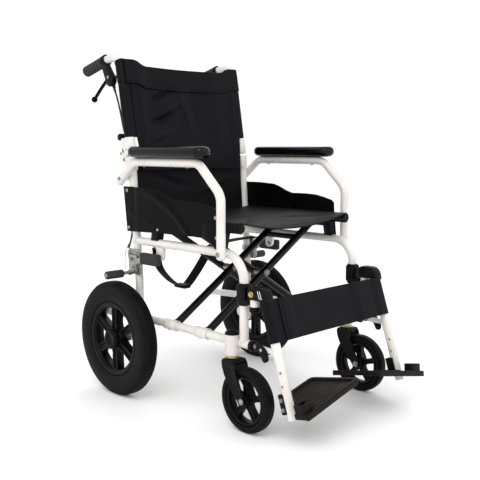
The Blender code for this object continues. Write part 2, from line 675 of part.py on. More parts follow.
def make_back_upholstery(mats, upper_pivot, lower_pivot):
    """Back rest fabric: the part that folds with the canes and the part below it."""
    half = 0.184
    lower = [(post_y(0.494) - 0.001, 0.494), (post_y(0.648) - 0.001, 0.648)]
    upper = [(cane_point(0.662), 0.662), (cane_point(0.898), 0.898)]
    for name, line, pivot in (("back_lower", lower, lower_pivot), ("back_upper", upper, upper_pivot)):
        outline = [(y - 0.003, z) for y, z in line] + [(y + 0.003, z) for y, z in reversed(line)]
        add_prism(name, outline, (-half, half), side_plane(1), mats["fabric"], pivot)


# ---------------------------------------------------------------- parking brake


def make_parking_brake(side, mats, frame_pivot, lever_pivot, shoe_pivot):
    """Bracket on the rear post, its hand lever and the roller above the tyre."""
    tag = SIDE_NAMES[side]
    plane = side_plane(side)
    outline = [(-0.037, 0.392), (0.006, 0.392), (0.010, 0.384), (0.008, 0.340), (-0.004, 0.326),
               (-0.042, 0.326), (-0.050, 0.345)]
    bracket = add_prism(f"parking_bracket_{tag}", outline, (FRAME_X + TUBE_R + GAP, 0.2232),
                        plane, mats["zinc"], frame_pivot)
    clip = add_box(f"bracket_clip_{tag}", (side * 0.2215, -0.036, 0.372),
                   (side * 0.2305, 0.002, 0.380), mats["zinc"], frame_pivot)
    combine(bracket, clip, "UNION")
    lever = add_prism(f"parking_lever_{tag}", link_outline((-0.0300, 0.3560), (-0.0700, 0.3740),
                                                           0.0070, 0.0060),
                      (0.2238, 0.2268), plane, mats["zinc"], lever_pivot)
    block = add_box(f"lever_block_{tag}", (side * 0.2190, -0.132, 0.3590),
                    (side * 0.2380, -0.058, 0.3900), mats["rubber"], lever_pivot)
    bevel_edges(block, 0.004, 1)
    combine(lever, block, "UNION")
    shoe = add_prism(f"brake_shoe_{tag}", link_outline((-0.0280, 0.3380), (0.0000, 0.3290),
                                                       0.0070, 0.0080),
                     (0.2238, 0.2278), plane, mats["zinc"], shoe_pivot)
    roller = add_cylinder(f"shoe_roller_{tag}", (side * 0.2270, 0.0, 0.3290),
                          (side * 0.3040, 0.0, 0.3290), 0.0110, mats["rubber"], shoe_pivot, 14)
    combine(shoe, roller, "UNION")


# ---------------------------------------------------------------- footrests


def hanger_lean():
    """Unit vector down the hanger's long leg."""
    top = Vector((0.0, -0.4905, HANGER_TOP_Z))
    foot = Vector((0.0, *HANGER_FOOT))
    return (foot - top).normalized()


def make_hanger(side, mats, pivot):
    """Hanger tube: pivot pin, elbow and long leg, with a lug that meets the frame's pin."""
    tag = SIDE_NAMES[side]
    x = side * HANGER_X
    corners = [(x, HANGER_PIVOT_Y, 0.2900), (x, HANGER_PIVOT_Y, HANGER_TOP_Z),
               (x, -0.4905, HANGER_TOP_Z), (x, *HANGER_FOOT)]
    hanger = add_tube(f"hanger_tube_{tag}", bent_path(corners, 0.0138, 3), TUBE_R,
                      mats["powder_coat"], pivot)
    lug = add_box(f"hanger_lug_{tag}", (side * 0.2075, -0.535, 0.2010),
                  (side * 0.2170, -0.4775, 0.2130), mats["powder_coat"], pivot)
    combine(hanger, lug, "UNION")
    return hanger


def make_hanger_clamp(side, mats, pivot):
    """Plastic casting round the front leg, with a shelf behind the hanger's pivot."""
    tag = SIDE_NAMES[side]
    black = mats["black_plastic"]
    clamp = add_box(f"hanger_clamp_{tag}", (side * 0.1935, LEG_Y - 0.0148, 0.3040),
                    (side * 0.2236, LEG_Y + 0.0138, 0.3500), black, pivot)
    shelf = add_box(f"clamp_shelf_{tag}", (side * 0.1950, -0.4500, 0.3040),
                    (side * 0.2236, LEG_Y, 0.3170), black, pivot)
    combine(clamp, shelf, "UNION")
    bore = add_cylinder(f"clamp_bore_{tag}", (side * FRAME_X, LEG_Y, 0.295),
                        (side * FRAME_X, LEG_Y, 0.365), TUBE_R + 0.0006, black, pivot)
    combine(clamp, bore, "DIFFERENCE")
    return clamp


def make_latch_lever(side, mats, pivot):
    """Lever that hooks the hanger's lug to the frame's front pin."""
    outline = [(-0.4745, 0.2175), (-0.484, 0.2165), (-0.500, 0.2110), (-0.510, 0.1930),
               (-0.506, 0.1840), (-0.498, 0.1840), (-0.490, 0.1970), (-0.478, 0.2030),
               (-0.4745, 0.2090)]
    add_prism(f"latch_lever_{SIDE_NAMES[side]}", outline, (0.2176, 0.2226), side_plane(side),
              mats["black_plastic"], pivot)


def foot_axes():
    """Unit vectors of a footplate: inward, forward and normal, for the left side."""
    forward = Vector((0.0, -math.cos(FOOT_PITCH), math.sin(FOOT_PITCH)))
    inward = Vector((-math.cos(FOOT_ROLL), math.sin(FOOT_ROLL) * math.sin(FOOT_PITCH),
                     math.sin(FOOT_ROLL) * math.cos(FOOT_PITCH)))
    normal = forward.cross(inward)
    return inward, forward, normal if normal.z > 0 else -normal


def foot_plane(side):
    """Map (inward, forward, up) from the footplate's hinge to chair axes."""
    inward, forward, normal = foot_axes()
    hinge = Vector(FOOT_HINGE)

    def place(u, v, w):
        point = hinge + inward * u + forward * v + normal * w
        return (side * point.x, point.y, point.z)
    return place


def add_foot_cylinder(name, side, start, end, radius, material, pivot, bore=None):
    """Cylinder given in footplate coordinates, hollow when a bore radius is given."""
    place = foot_plane(side)
    first = Vector(place(*start))
    heading = Vector(place(*end)) - first
    length = heading.length
    if bore is None:
        profile = [(0.0, 0.0), (0.0, radius), (length, radius), (length, 0.0)]
        return add_turned(name, profile, first, heading, material, pivot, 12)
    ring = [(0.0, bore), (0.0, radius), (length, radius), (length, bore)]
    return add_turned(name, ring, first, heading, material, pivot, 12, True)


def make_footplate(side, mats, pivot):
    """Tray-shaped footplate with a raised rim, a toe wall and two hinge knuckles."""
    tag = SIDE_NAMES[side]
    black = mats["black_plastic"]
    place = foot_plane(side)
    outline = [(0.012, -0.030), (0.030, -0.052), (0.066, -0.078), (0.142, -0.078), (0.1535, -0.066),
               (0.1535, 0.058), (0.143, 0.070), (-0.034, 0.070), (-0.045, 0.060), (-0.045, 0.030),
               (-0.012, 0.030), (0.012, 0.0265)]
    plate = add_prism(f"footplate_{tag}", outline, (-0.0070, 0.0055), place, black, pivot)
    tray = [(0.026, -0.030), (0.068, -0.068), (0.138, -0.068), (0.1450, -0.060),
            (0.1450, 0.052), (0.138, 0.060), (0.000, 0.060), (0.000, 0.038), (0.026, 0.034)]
    hollow = add_prism(f"tray_hollow_{tag}", tray, (0.0000, 0.0200), place, black, pivot)
    wall = add_prism(f"toe_wall_{tag}", [(-0.044, 0.0625), (0.1350, 0.0625), (0.1350, 0.0692),
                                         (-0.044, 0.0692)], (-0.0090, 0.0), place, black, pivot)
    block = add_prism(f"heel_block_{tag}", [(-0.0440, 0.031), (-0.008, 0.031), (-0.008, 0.060),
                                            (-0.0440, 0.060)], (0.0, 0.0240), place, black, pivot)
    combine(plate, hollow, "DIFFERENCE")
    combine(plate, wall, "UNION")
    combine(plate, block, "UNION")
    for low, high, label in ((0.0110, 0.0240, "toe"), (-0.0240, -0.0110, "heel")):
        web = add_prism(f"knuckle_web_{label}_{tag}", [(0.0045, low), (0.020, low),
                                                       (0.020, high), (0.0045, high)],
                        (-0.0055, 0.0010), place, black, pivot)
        knuckle = add_foot_cylinder(f"knuckle_{label}_{tag}", side, (0.0, low, 0.0),
                                    (0.0, high, 0.0), 0.0075, black, pivot, 0.0046)
        combine(plate, web, "UNION")
        combine(plate, knuckle, "UNION")
    return plate


def make_footplate_clamp(side, mats, pivot):
    """Clamp behind the hanger's foot that carries the footplate's hinge pin."""
    tag = SIDE_NAMES[side]
    black = mats["black_plastic"]
    lean = hanger_lean()
    middle = Vector((0.0, *HANGER_FOOT)) - lean * 0.034
    turn = Matrix.Rotation(math.atan2(-lean.y, -lean.z), 3, "X")
    turn.invert()
    centre = Vector((side * HANGER_X, middle.y, middle.z))
    low = centre + Vector((-side * 0.0150, -0.0020, -0.0230))
    high = centre + Vector((side * 0.0100, 0.0225, 0.0230))
    clamp = add_box(f"footplate_clamp_{tag}", low, high, black, pivot, turn, centre)
    ear = add_foot_cylinder(f"clamp_ear_{tag}", side, (0.0, -0.0104, 0.0), (0.0, 0.0104, 0.0),
                            0.0075, black, pivot)
    web = add_prism(f"clamp_web_{tag}", [(-0.0150, -0.0100), (0.0010, -0.0100), (0.0010, 0.0100),
                                         (-0.0150, 0.0100)], (-0.0060, 0.0060), foot_plane(side),
                    black, pivot)
    pin = add_foot_cylinder(f"clamp_pin_{tag}", side, (0.0, -0.0250, 0.0), (0.0, 0.0250, 0.0),
                            0.0040, mats["zinc"], pivot)
    bore = add_cylinder(f"clamp_tube_bore_{tag}", centre - lean * 0.05, centre + lean * 0.05,
                        TUBE_R + 0.0006, black, pivot)
    for helper in (ear, web):
        combine(clamp, helper, "UNION")
    combine(clamp, bore, "DIFFERENCE")
    combine(clamp, pin, "UNION")
    return clamp


def make_calf_strap(mats, pivot):
    """Calf strap panel in front of both hangers."""
    lean = hanger_lean()
    out = Vector((0.0, lean.z, -lean.y))
    if out.y > 0:
        out = -out
    top = Vector((0.0, -0.4905, HANGER_TOP_Z)) + lean * 0.016
    bottom = top + lean * 0.094
    half = 0.2140

    def place(u, v, offset):
        point = top.lerp(bottom, v) + out * (TUBE_R + 0.002 + u)
        return (offset, point.y, point.z)
    add_prism("calf_strap", [(0.0, 0.0), (0.0, 1.0), (0.006, 1.0), (0.006, 0.0)], (-half, half),
              place, mats["fabric"], pivot)


def make_lap_belt(mats, pivot):
    """Lap belt webbing hanging in a V below the rear of the seat."""
    run = [(-0.190, 0.398), (-0.182, 0.350), (-0.150, 0.312), (-0.112, 0.287), (-0.086, 0.285),
           (-0.050, 0.318), (-0.020, 0.352), (0.010, 0.388), (0.090, 0.396), (0.190, 0.398)]
    outline = run + [(x, z - 0.0025) for x, z in reversed(run)]
    add_prism("lap_belt", outline, (-0.090, -0.055), lambda u, v, offset: (u, offset, v),
              mats["fabric"], pivot)


# ---------------------------------------------------------------- assembly


def make_side(side, mats, origin):
    """Everything that is mirrored on the two sides of the chair."""
    tag = SIDE_NAMES[side]
    frame = add_empty(f"frame_{tag}", (side * FRAME_X, 0.0, LOWER_RAIL_Z), origin)
    wheel = add_empty(f"rear_wheel_axis_{tag}", (side * REAR_WHEEL_X, 0.0, REAR_WHEEL_R), origin)
    swivel = add_empty(f"caster_swivel_{tag}", (side * CASTER_X, SWIVEL_Y, 0.170), origin)
    caster = add_empty(f"caster_axis_{tag}", (side * CASTER_X, CASTER_AXLE_Y, CASTER_R), origin)
    back = add_empty(f"back_axis_{tag}", (side * FRAME_X, *BACK_PIVOT), origin)
    brake = add_empty(f"handbrake_axis_{tag}", (side * LEVER_X, 0.0960, 0.8570), origin)
    release = add_empty(f"release_axis_{tag}", (side * FRAME_X, *RELEASE_PIVOT), origin)
    lever = add_empty(f"parking_axis_{tag}", (side * 0.225, -0.0300, 0.3560), origin)
    shoe = add_empty(f"shoe_axis_{tag}", (side * 0.225, -0.0280, 0.3380), origin)
    hanger = add_empty(f"hanger_axis_{tag}", (side * HANGER_X, HANGER_PIVOT_Y, 0.300), origin)
    latch = add_empty(f"latch_axis_{tag}", (side * HANGER_X, -0.4920, 0.2070), origin)
    foot = add_empty(f"footplate_axis_{tag}", (side * FOOT_HINGE[0], *FOOT_HINGE[1:]), origin)
    make_rear_post(side, mats, frame)
    make_seat_rail(side, mats, frame)
    make_lower_rail(side, mats, frame)
    make_arm_tube(side, mats, frame)
    make_arm_pad(side, mats, frame)
    make_skirt_guard(side, mats, frame)
    make_hanger_clamp(side, mats, frame)
    make_brake_cable(side, mats, frame)
    make_rear_wheel(side, mats, wheel, frame)
    make_caster_fork(side, mats, swivel)
    make_caster_wheel(side, mats, caster)
    make_back_cane(side, mats, back)
    make_push_grip(side, mats, back)
    make_handbrake_body(side, mats, back)
    make_handbrake_lever(side, mats, brake)
    make_release_lever(side, mats, release)
    make_parking_brake(side, mats, frame, lever, shoe)
    make_hanger(side, mats, hanger)
    make_footplate_clamp(side, mats, hanger)
    make_latch_lever(side, mats, latch)
    make_footplate(side, mats, foot)
    return frame, back, hanger


def main():
    clear_scene()
    mats = make_materials()
    middle = (FRONT_END_Y + REAR_END_Y) / 2.0
    origin = add_empty("chair_origin", (0.0, -middle, 0.0))
    frame, back, hanger = make_side(SIDE_RIGHT, mats, origin)
    make_side(SIDE_LEFT, mats, origin)
    fold_a = add_empty("fold_axis", (-FRAME_X, 0.0, LOWER_RAIL_Z), origin)
    fold_b = add_empty("cross_axis", (0.0, 0.0, pivot_height()), origin)
    make_scissors(mats, fold_a, fold_b)
    make_seat(mats, fold_a)
    make_back_upholstery(mats, back, frame)
    make_calf_strap(mats, hanger)
    make_lap_belt(mats, frame)


if __name__ == "__main__":
    main()
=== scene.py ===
"""Looks of a folding transport wheelchair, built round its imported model.

The chair faces -Y, X = 0 is its plane of symmetry and the floor is Z = 0. Places are
given from the rear axle, as in the chair's design, and Side.at() puts them in the frame.
"""
import logging
import math
from collections.abc import Callable, Sequence
from dataclasses import dataclass, field
from enum import Enum

import bpy
from mathutils import Matrix, Vector


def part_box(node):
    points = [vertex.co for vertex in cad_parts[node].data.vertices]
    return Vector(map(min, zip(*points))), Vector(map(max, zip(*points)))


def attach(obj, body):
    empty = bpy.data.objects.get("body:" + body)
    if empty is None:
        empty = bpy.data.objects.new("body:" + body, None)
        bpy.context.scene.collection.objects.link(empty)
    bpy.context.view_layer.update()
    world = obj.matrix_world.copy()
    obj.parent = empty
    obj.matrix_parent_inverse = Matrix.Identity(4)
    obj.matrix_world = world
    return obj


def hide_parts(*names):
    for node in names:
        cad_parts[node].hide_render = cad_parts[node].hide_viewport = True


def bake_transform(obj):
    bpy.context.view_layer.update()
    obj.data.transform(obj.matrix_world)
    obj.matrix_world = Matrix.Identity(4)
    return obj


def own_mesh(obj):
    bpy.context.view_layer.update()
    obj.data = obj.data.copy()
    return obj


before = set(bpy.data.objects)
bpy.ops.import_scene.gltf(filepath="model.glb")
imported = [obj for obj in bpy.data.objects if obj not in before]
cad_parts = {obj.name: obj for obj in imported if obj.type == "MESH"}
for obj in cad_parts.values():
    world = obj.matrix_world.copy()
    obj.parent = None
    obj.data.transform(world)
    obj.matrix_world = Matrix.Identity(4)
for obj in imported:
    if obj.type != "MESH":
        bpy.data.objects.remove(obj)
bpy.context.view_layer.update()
LOG = logging.getLogger("wheelchair")
MM = 0.001

Point = Sequence[float]
Outline = list[tuple[float, float]]


def node_middle(name: str) -> Vector:
    """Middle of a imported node's box."""
    low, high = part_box(name)
    return (low + high) / 2.0


AXLE = node_middle("rear_axle_left")


class Side(Enum):
    """The occupant's right (-X) or left (+X)."""

    RIGHT = -1
    LEFT = 1

    @property
    def tag(self) -> str:
        """Ending of this side's names."""
        return self.name.lower()

    def at(self, x: float, y: float, z: float) -> Vector:
        """Place given as distance from the middle, from the rear axle and from the floor."""
        return Vector((self.value * x, AXLE.y + y, z))

    def out(self) -> Vector:
        """Unit vector that points away from the chair's middle."""
        return Vector((self.value, 0.0, 0.0))


FORWARD = Vector((0.0, -1.0, 0.0))
REARWARD = Vector((0.0, 1.0, 0.0))
UP = Vector((0.0, 0.0, 1.0))

# ---------------------------------------------------------------- finishes


def linear(hex_colour: str) -> tuple[float, float, float, float]:
    """Turn an sRGB hex colour into linear RGBA."""
    parts = [int(hex_colour[i:i + 2], 16) / 255.0 for i in (1, 3, 5)]
    straight = [c / 12.92 if c <= 0.04045 else ((c + 0.055) / 1.055) ** 2.4 for c in parts]
    return (*straight, 1.0)


def add_node(tree: bpy.types.NodeTree, kind: str, inputs: dict | None = None,
             **settings: object) -> bpy.types.Node:
    """Add a node, set its attributes, and fill or join its inputs.

    Args:
        tree: Node tree of the material.
        kind: Blender's type name of the node.
        inputs: Input name or number, with a value or the socket that drives it.
        settings: Attributes of the node.

    Returns:
        The new node.
    """
    node = tree.nodes.new(kind)
    for key, value in settings.items():
        setattr(node, key, value)
    for key, value in (inputs or {}).items():
        if isinstance(value, bpy.types.NodeSocket):
            tree.links.new(value, node.inputs[key])
        else:
            node.inputs[key].default_value = value
    return node


class Relief(Enum):
    """How a finish's fine surface was made."""

    MOULDED = "fine spark-eroded grain of an injection mould"
    FLOWED = "orange peel of baked powder"
    PEBBLED = "leather-like pebbles of skinned foam"
    PLATED = "crystal patches of zinc plating"
    TURNED = "plain turned or drawn metal"
    WOVEN = "plain weave, following the cloth's own UV map in metres"
    WEBBED = "ribbed narrow weave, following the strap's own UV map in metres"
    SCREED = "smooth floor"


@dataclass(frozen=True)
class Finish:
    """A real surface finish and the material that shows it."""

    name: str
    slot: str
    dark: str
    light: str
    roughness: tuple[float, float]
    relief: Relief
    grain_mm: float
    depth_mm: float
    cloud_mm: float = 45.0
    metallic: float = 0.0
    ior: float = 1.5
    coat: float = 0.0
    sheen: float = 0.0
    specular: float = 0.5

    def material(self) -> bpy.types.Material:
        """Return the finish's material, made on first use."""
        return bpy.data.materials.get(self.name) or self.make()

    def make(self) -> bpy.types.Material:
        """Build the node tree: clouded colour, uneven gloss, and the relief as bump."""
        material = bpy.data.materials.new(self.name)
        material.use_nodes = True
        material.diffuse_color = linear(self.light)
        tree = material.node_tree
        shader = tree.nodes["Principled BSDF"]
        shader.inputs["Metallic"].default_value = self.metallic
        shader.inputs["IOR"].default_value = self.ior
        shader.inputs["Specular IOR Level"].default_value = self.specular
        shader.inputs["Coat Weight"].default_value = self.coat
        shader.inputs["Coat Roughness"].default_value = 0.12
        shader.inputs["Sheen Weight"].default_value = self.sheen
        shader.inputs["Sheen Roughness"].default_value = 0.4
        where = add_node(tree, "ShaderNodeTexCoord").outputs["Object"]
        cloud = add_node(tree, "ShaderNodeTexNoise", {
            "Vector": where, "Scale": 1000.0 / self.cloud_mm, "Detail": 4.0, "Roughness": 0.6})
        height, tone = self.relief_sockets(tree, where)
        spread = add_node(tree, "ShaderNodeMapRange", {
            "Value": cloud.outputs["Fac"], "From Min": 0.3, "From Max": 0.7})
        blend = add_node(tree, "ShaderNodeMath", {0: spread.outputs["Result"], 1: tone},
                         operation="MULTIPLY")
        colour = add_node(tree, "ShaderNodeMix", {
            "Factor": blend.outputs["Value"], 6: linear(self.dark), 7: linear(self.light)},
            data_type="RGBA")
        tree.links.new(colour.outputs[2], shader.inputs["Base Color"])
        gloss = add_node(tree, "ShaderNodeMapRange", {
            "Value": cloud.outputs["Fac"], "From Min": 0.3, "From Max": 0.7,
            "To Min": self.roughness[0], "To Max": self.roughness[1]})
        tree.links.new(gloss.outputs["Result"], shader.inputs["Roughness"])
        bump = add_node(tree, "ShaderNodeBump", {
            "Height": height, "Strength": 1.0, "Distance": self.depth_mm * MM})
        tree.links.new(bump.outputs["Normal"], shader.inputs["Normal"])
        return material

    def relief_sockets(self, tree: bpy.types.NodeTree, where: bpy.types.NodeSocket
                       ) -> tuple[bpy.types.NodeSocket, bpy.types.NodeSocket]:
        """Sockets that hold the relief's height and its effect on the colour, each 0 to 1."""
        scale = 1000.0 / self.grain_mm
        if self.relief in (Relief.WOVEN, Relief.WEBBED):
            return self.thread_sockets(tree, scale)
        if self.relief in (Relief.PEBBLED, Relief.PLATED):
            cells = add_node(tree, "ShaderNodeTexVoronoi", {"Vector": where, "Scale": scale},
                             feature="F1")
            speckle = add_node(tree, "ShaderNodeMapRange", {
                "Value": cells.outputs["Distance"], "From Max": 0.7, "To Min": 1.0,
                "To Max": 0.35 if self.relief is Relief.PLATED else 0.8})
            if self.relief is Relief.PLATED:
                patch = add_node(tree, "ShaderNodeSeparateColor",
                                 {"Color": cells.outputs["Color"]})
                return speckle.outputs["Result"], patch.outputs["Red"]
            return speckle.outputs["Result"], speckle.outputs["Result"]
        fine = add_node(tree, "ShaderNodeTexNoise", {
            "Vector": where, "Scale": scale, "Detail": 2.0, "Roughness": 0.55})
        level = add_node(tree, "ShaderNodeMapRange", {
            "Value": fine.outputs["Fac"], "From Min": 0.25, "From Max": 0.75, "To Min": 0.75})
        return fine.outputs["Fac"], level.outputs["Result"]

    def thread_sockets(self, tree: bpy.types.NodeTree, scale: float
                       ) -> tuple[bpy.types.NodeSocket, bpy.types.NodeSocket]:
        """Crossing threads: waves along both directions of the cloth's UV map."""
        uv = add_node(tree, "ShaderNodeUVMap", uv_map="UVMap").outputs["UV"]
        waves = []
        for direction in ("X", "Y"):
            pitch = scale / 20.0
            if self.relief is Relief.WEBBED and direction == "Y":
                pitch = scale / 55.0
            waves.append(add_node(tree, "ShaderNodeTexWave", {
                "Vector": uv, "Scale": pitch, "Distortion": 0.4, "Detail": 1.0,
                "Detail Scale": 2.0}, bands_direction=direction))
        weave = add_node(tree, "ShaderNodeMath", {
            0: waves[0].outputs["Fac"], 1: waves[1].outputs["Fac"]}, operation="MULTIPLY")
        tone = add_node(tree, "ShaderNodeMapRange", {
            "Value": weave.outputs["Value"], "To Min": 0.55})
        return weave.outputs["Value"], tone.outputs["Result"]


# Baked polyester powder on steel tube: glossy warm white with a slow orange peel.
POWDER_COAT = Finish("white_powder_coat", "powder_coat", "#d2cdc7", "#e4e0db", (0.22, 0.36),
                     Relief.FLOWED, 3.0, 0.05, 90.0, coat=0.25)
# Stove-black powder on the crossbars: half gloss, a little dusty.
BLACK_COAT = Finish("black_powder_coat", "black_paint", "#050506", "#0e0e10", (0.26, 0.42),
                    Relief.FLOWED, 2.6, 0.05, 70.0, specular=0.22)
# Glass-filled nylon: dull black with the mould's grain.
NYLON = Finish("moulded_nylon", "black_plastic", "#060607", "#101012", (0.28, 0.42),
               Relief.MOULDED, 0.9, 0.035, 35.0, specular=0.10)
# Polypropylene side panels: broad soft shine.
PANEL = Finish("moulded_polypropylene", "black_plastic", "#060607", "#0e0e10", (0.30, 0.42),
               Relief.MOULDED, 1.3, 0.045, 120.0, specular=0.05)
# Footplates: warm-black textured plastic.
TREADPLATE = Finish("textured_footplate_plastic", "black_plastic", "#0b0908", "#161310",
                    (0.44, 0.58), Relief.MOULDED, 1.1, 0.07, 60.0, specular=0.12)
# Solid tyres: matt rubber with dry bloom.
TYRE = Finish("solid_tyre_rubber", "tyre_rubber", "#070707", "#131313", (0.42, 0.60),
              Relief.MOULDED, 1.4, 0.05, 50.0, specular=0.08)
# Moulded rubber hand grips and brake pads: matt, near black, no shine.
GRIP = Finish("grip_rubber", "grip_rubber", "#040405", "#0a0a0b", (0.44, 0.60),
              Relief.MOULDED, 1.0, 0.04, 30.0, specular=0.04)
# Integral-skin polyurethane: glossy skin with leather pebbles.
SKIN_FOAM = Finish("integral_skin_foam", "arm_foam", "#040405", "#0a0a0c", (0.14, 0.22),
                   Relief.PEBBLED, 1.6, 0.006, 80.0, specular=0.2)
# Zinc-plated pressed steel: grey metal with crystal patches.
ZINC = Finish("zinc_plated_steel", "zinc_plate", "#8f908c", "#c9c9c4", (0.26, 0.42),
              Relief.PLATED, 2.2, 0.03, 25.0, metallic=1.0)
# Yellow-passivated fasteners.
BRASSED = Finish("yellow_passivated_steel", "zinc_plate", "#a68d4e", "#d9c68c", (0.24, 0.36),
                 Relief.TURNED, 1.5, 0.02, 12.0, metallic=1.0)
# Coated nylon cloth; real threads are 0.4 mm, drawn at 1.2 mm so that they show.
CLOTH = Finish("coated_nylon_cloth", "upholstery", "#07070a", "#111116", (0.46, 0.58),
               Relief.WOVEN, 1.2, 0.10, 140.0, sheen=0.01, specular=0.09)
# Polyester webbing with cross ribs.
WEBBING = Finish("polyester_webbing", "webbing", "#060607", "#101012", (0.60, 0.76),
                 Relief.WEBBED, 1.6, 0.15, 40.0, sheen=0.0, specular=0.06)
# Vinyl brake cable housing: satin black with a faint turned line.
CABLE_SKIN = Finish("cable_housing_vinyl", "black_plastic", "#060607", "#0f0f10", (0.34, 0.46),
                    Relief.TURNED, 1.0, 0.02, 20.0)
# Matt white floor paint: even and bright, with a slow unevenness.
FLOOR_PAINT = Finish("matt_floor_paint", "", "#fbfbfb", "#ffffff", (0.75, 0.85),
                     Relief.SCREED, 40.0, 0.05, 800.0)

# ---------------------------------------------------------------- hand tools


def deselect() -> None:
    """Leave edit mode and deselect everything."""
    if bpy.context.object and bpy.context.object.mode != "OBJECT":
        bpy.ops.object.mode_set(mode="OBJECT")
    bpy.ops.object.select_all(action="DESELECT")


def focus(obj: bpy.types.Object) -> None:
    """Select one object alone and make it active."""
    deselect()
    obj.select_set(True)
    bpy.context.view_layer.objects.active = obj


def edit(obj: bpy.types.Object, kind: str = "VERT") -> None:
    """Open an object's mesh with all of it selected."""
    focus(obj)
    bpy.ops.object.mode_set(mode="EDIT")
    bpy.ops.mesh.select_mode(type=kind)
    bpy.ops.mesh.select_all(action="SELECT")


def close_edit() -> None:
    """Go back to object mode."""
    bpy.ops.object.mode_set(mode="OBJECT")


def select_faces(obj: bpy.types.Object, wanted: Callable[[bpy.types.MeshPolygon], bool]) -> None:
    """Open the mesh with just the faces selected that a test accepts."""
    edit(obj, "FACE")
    bpy.ops.mesh.select_all(action="DESELECT")
    bpy.ops.object.mode_set(mode="OBJECT")
    for face in obj.data.polygons:
        face.select = wanted(face)
    bpy.ops.object.mode_set(mode="EDIT")


def from_points(name: str, points: Sequence[Point], faces: Sequence[Sequence[int]] = (),
                edges: Sequence[tuple[int, int]] = ()) -> bpy.types.Object:
    """Make a mesh object from points in the frame.

    Args:
        name: Object name.
        points: Vertices.
        faces: Faces as vertex numbers.
        edges: Loose edges as vertex numbers.

    Returns:
        The object, linked to the scene.
    """
    mesh = bpy.data.meshes.new(name)
    mesh.from_pydata([tuple(p) for p in points], list(edges), list(faces))
    obj = bpy.data.objects.new(name, mesh)
    bpy.context.scene.collection.objects.link(obj)
    return obj


def apply_modifier(obj: bpy.types.Object, kind: str, **settings: object) -> None:
    """Add a modifier with its settings and apply it."""
    modifier = obj.modifiers.new(kind.lower(), kind)
    for key, value in settings.items():
        setattr(modifier, key, value)
    focus(obj)
    bpy.ops.object.modifier_apply(modifier=modifier.name)


def round_edges(obj: bpy.types.Object, width: float, segments: int = 2, angle: float = 35.0
                ) -> None:
    """Bevel the edges that are sharper than an angle in degrees."""
    apply_modifier(obj, "BEVEL", width=width, segments=segments, limit_method="ANGLE",
                   angle_limit=math.radians(angle), harden_normals=False)


def turned(name: str, profile: Outline, centre: Vector, axis: Vector, steps: int = 48,
           closed: bool = False) -> bpy.types.Object:
    """Spin a profile of (offset along the axis, radius) points round an axis.

    Args:
        name: Object name.
        profile: Points of the half section.
        centre: Point of the axis where the offset is 0.
        axis: Direction of the axis.
        steps: Sides of the round.
        closed: Whether the profile is a ring's closed section.

    Returns:
        The turned object.
    """
    along = axis.normalized()
    side = along.orthogonal().normalized()
    points = [centre + along * offset + side * radius for offset, radius in profile]
    count = len(points)
    edges = [(i, i + 1) for i in range(count - 1)]
    if closed:
        edges.append((count - 1, 0))
    obj = from_points(name, points, edges=edges)
    edit(obj)
    bpy.ops.mesh.spin(steps=steps, angle=2.0 * math.pi, center=centre, axis=along)
    bpy.ops.mesh.select_all(action="SELECT")
    bpy.ops.mesh.remove_doubles(threshold=0.00002)
    bpy.ops.mesh.normals_make_consistent(inside=False)
    close_edit()
    return obj


def round_corners(corners: Sequence[Vector], radius: float, steps: int = 10) -> list[Vector]:
    """Round the inner corners of a polyline with arcs of one radius."""
    path = [corners[0].copy()]
    for before, corner, after in zip(corners, corners[1:], corners[2:]):
        inward = (before - corner).normalized()
        outward = (after - corner).normalized()
        half = inward.angle(outward) / 2.0
        reach = radius / math.tan(half)
        centre = corner + (inward + outward).normalized() * (radius / math.sin(half))
        start = corner + inward * reach - centre
        end = corner + outward * reach - centre
        sweep = start.angle(end)
        normal = start.cross(end).normalized()
        for step in range(steps + 1):
            path.append(centre + Matrix.Rotation(sweep * step / steps, 3, normal) @ start)
    path.append(corners[-1].copy())
    return path


def smooth_path(points: Sequence[Vector], steps: int) -> list[Vector]:
    """Read a Catmull-Rom curve through the points."""
    padded = [points[0] * 2 - points[1], *points, points[-1] * 2 - points[-2]]
    curve = []
    for a, b, c, d in zip(padded, padded[1:], padded[2:], padded[3:]):
        for step in range(steps):
            t = step / steps
            curve.append(0.5 * (2 * b + (c - a) * t + (2 * a - 5 * b + 4 * c - d) * t * t
                                + (3 * b - a - 3 * c + d) * t ** 3))
    curve.append(points[-1].copy())
    return curve


def tube(name: str, path: Sequence[Vector], radius: float, sides: int = 24,
         ring: bool = False) -> bpy.types.Object:
    """Sweep a round section along a path, as a bevelled curve made into a mesh.

    Args:
        name: Object name.
        path: Points of the centre line.
        radius: Radius of the section.
        sides: Sides of the section.
        ring: Whether the path closes on itself.

    Returns:
        The tube, capped when it is open.
    """
    curve = bpy.data.curves.new(name, "CURVE")
    curve.dimensions = "3D"
    curve.fill_mode = "FULL"
    curve.bevel_depth = radius
    curve.bevel_resolution = (sides - 4) // 2
    curve.use_fill_caps = not ring
    spline = curve.splines.new("POLY")
    spline.points.add(len(path) - 1)
    spline.use_cyclic_u = ring
    for point, place in zip(spline.points, path):
        point.co = (*place, 1.0)
    obj = bpy.data.objects.new(name, curve)
    bpy.context.scene.collection.objects.link(obj)
    focus(obj)
    bpy.ops.object.convert(target="MESH")
    obj = bpy.context.object
    obj.name = name
    return obj


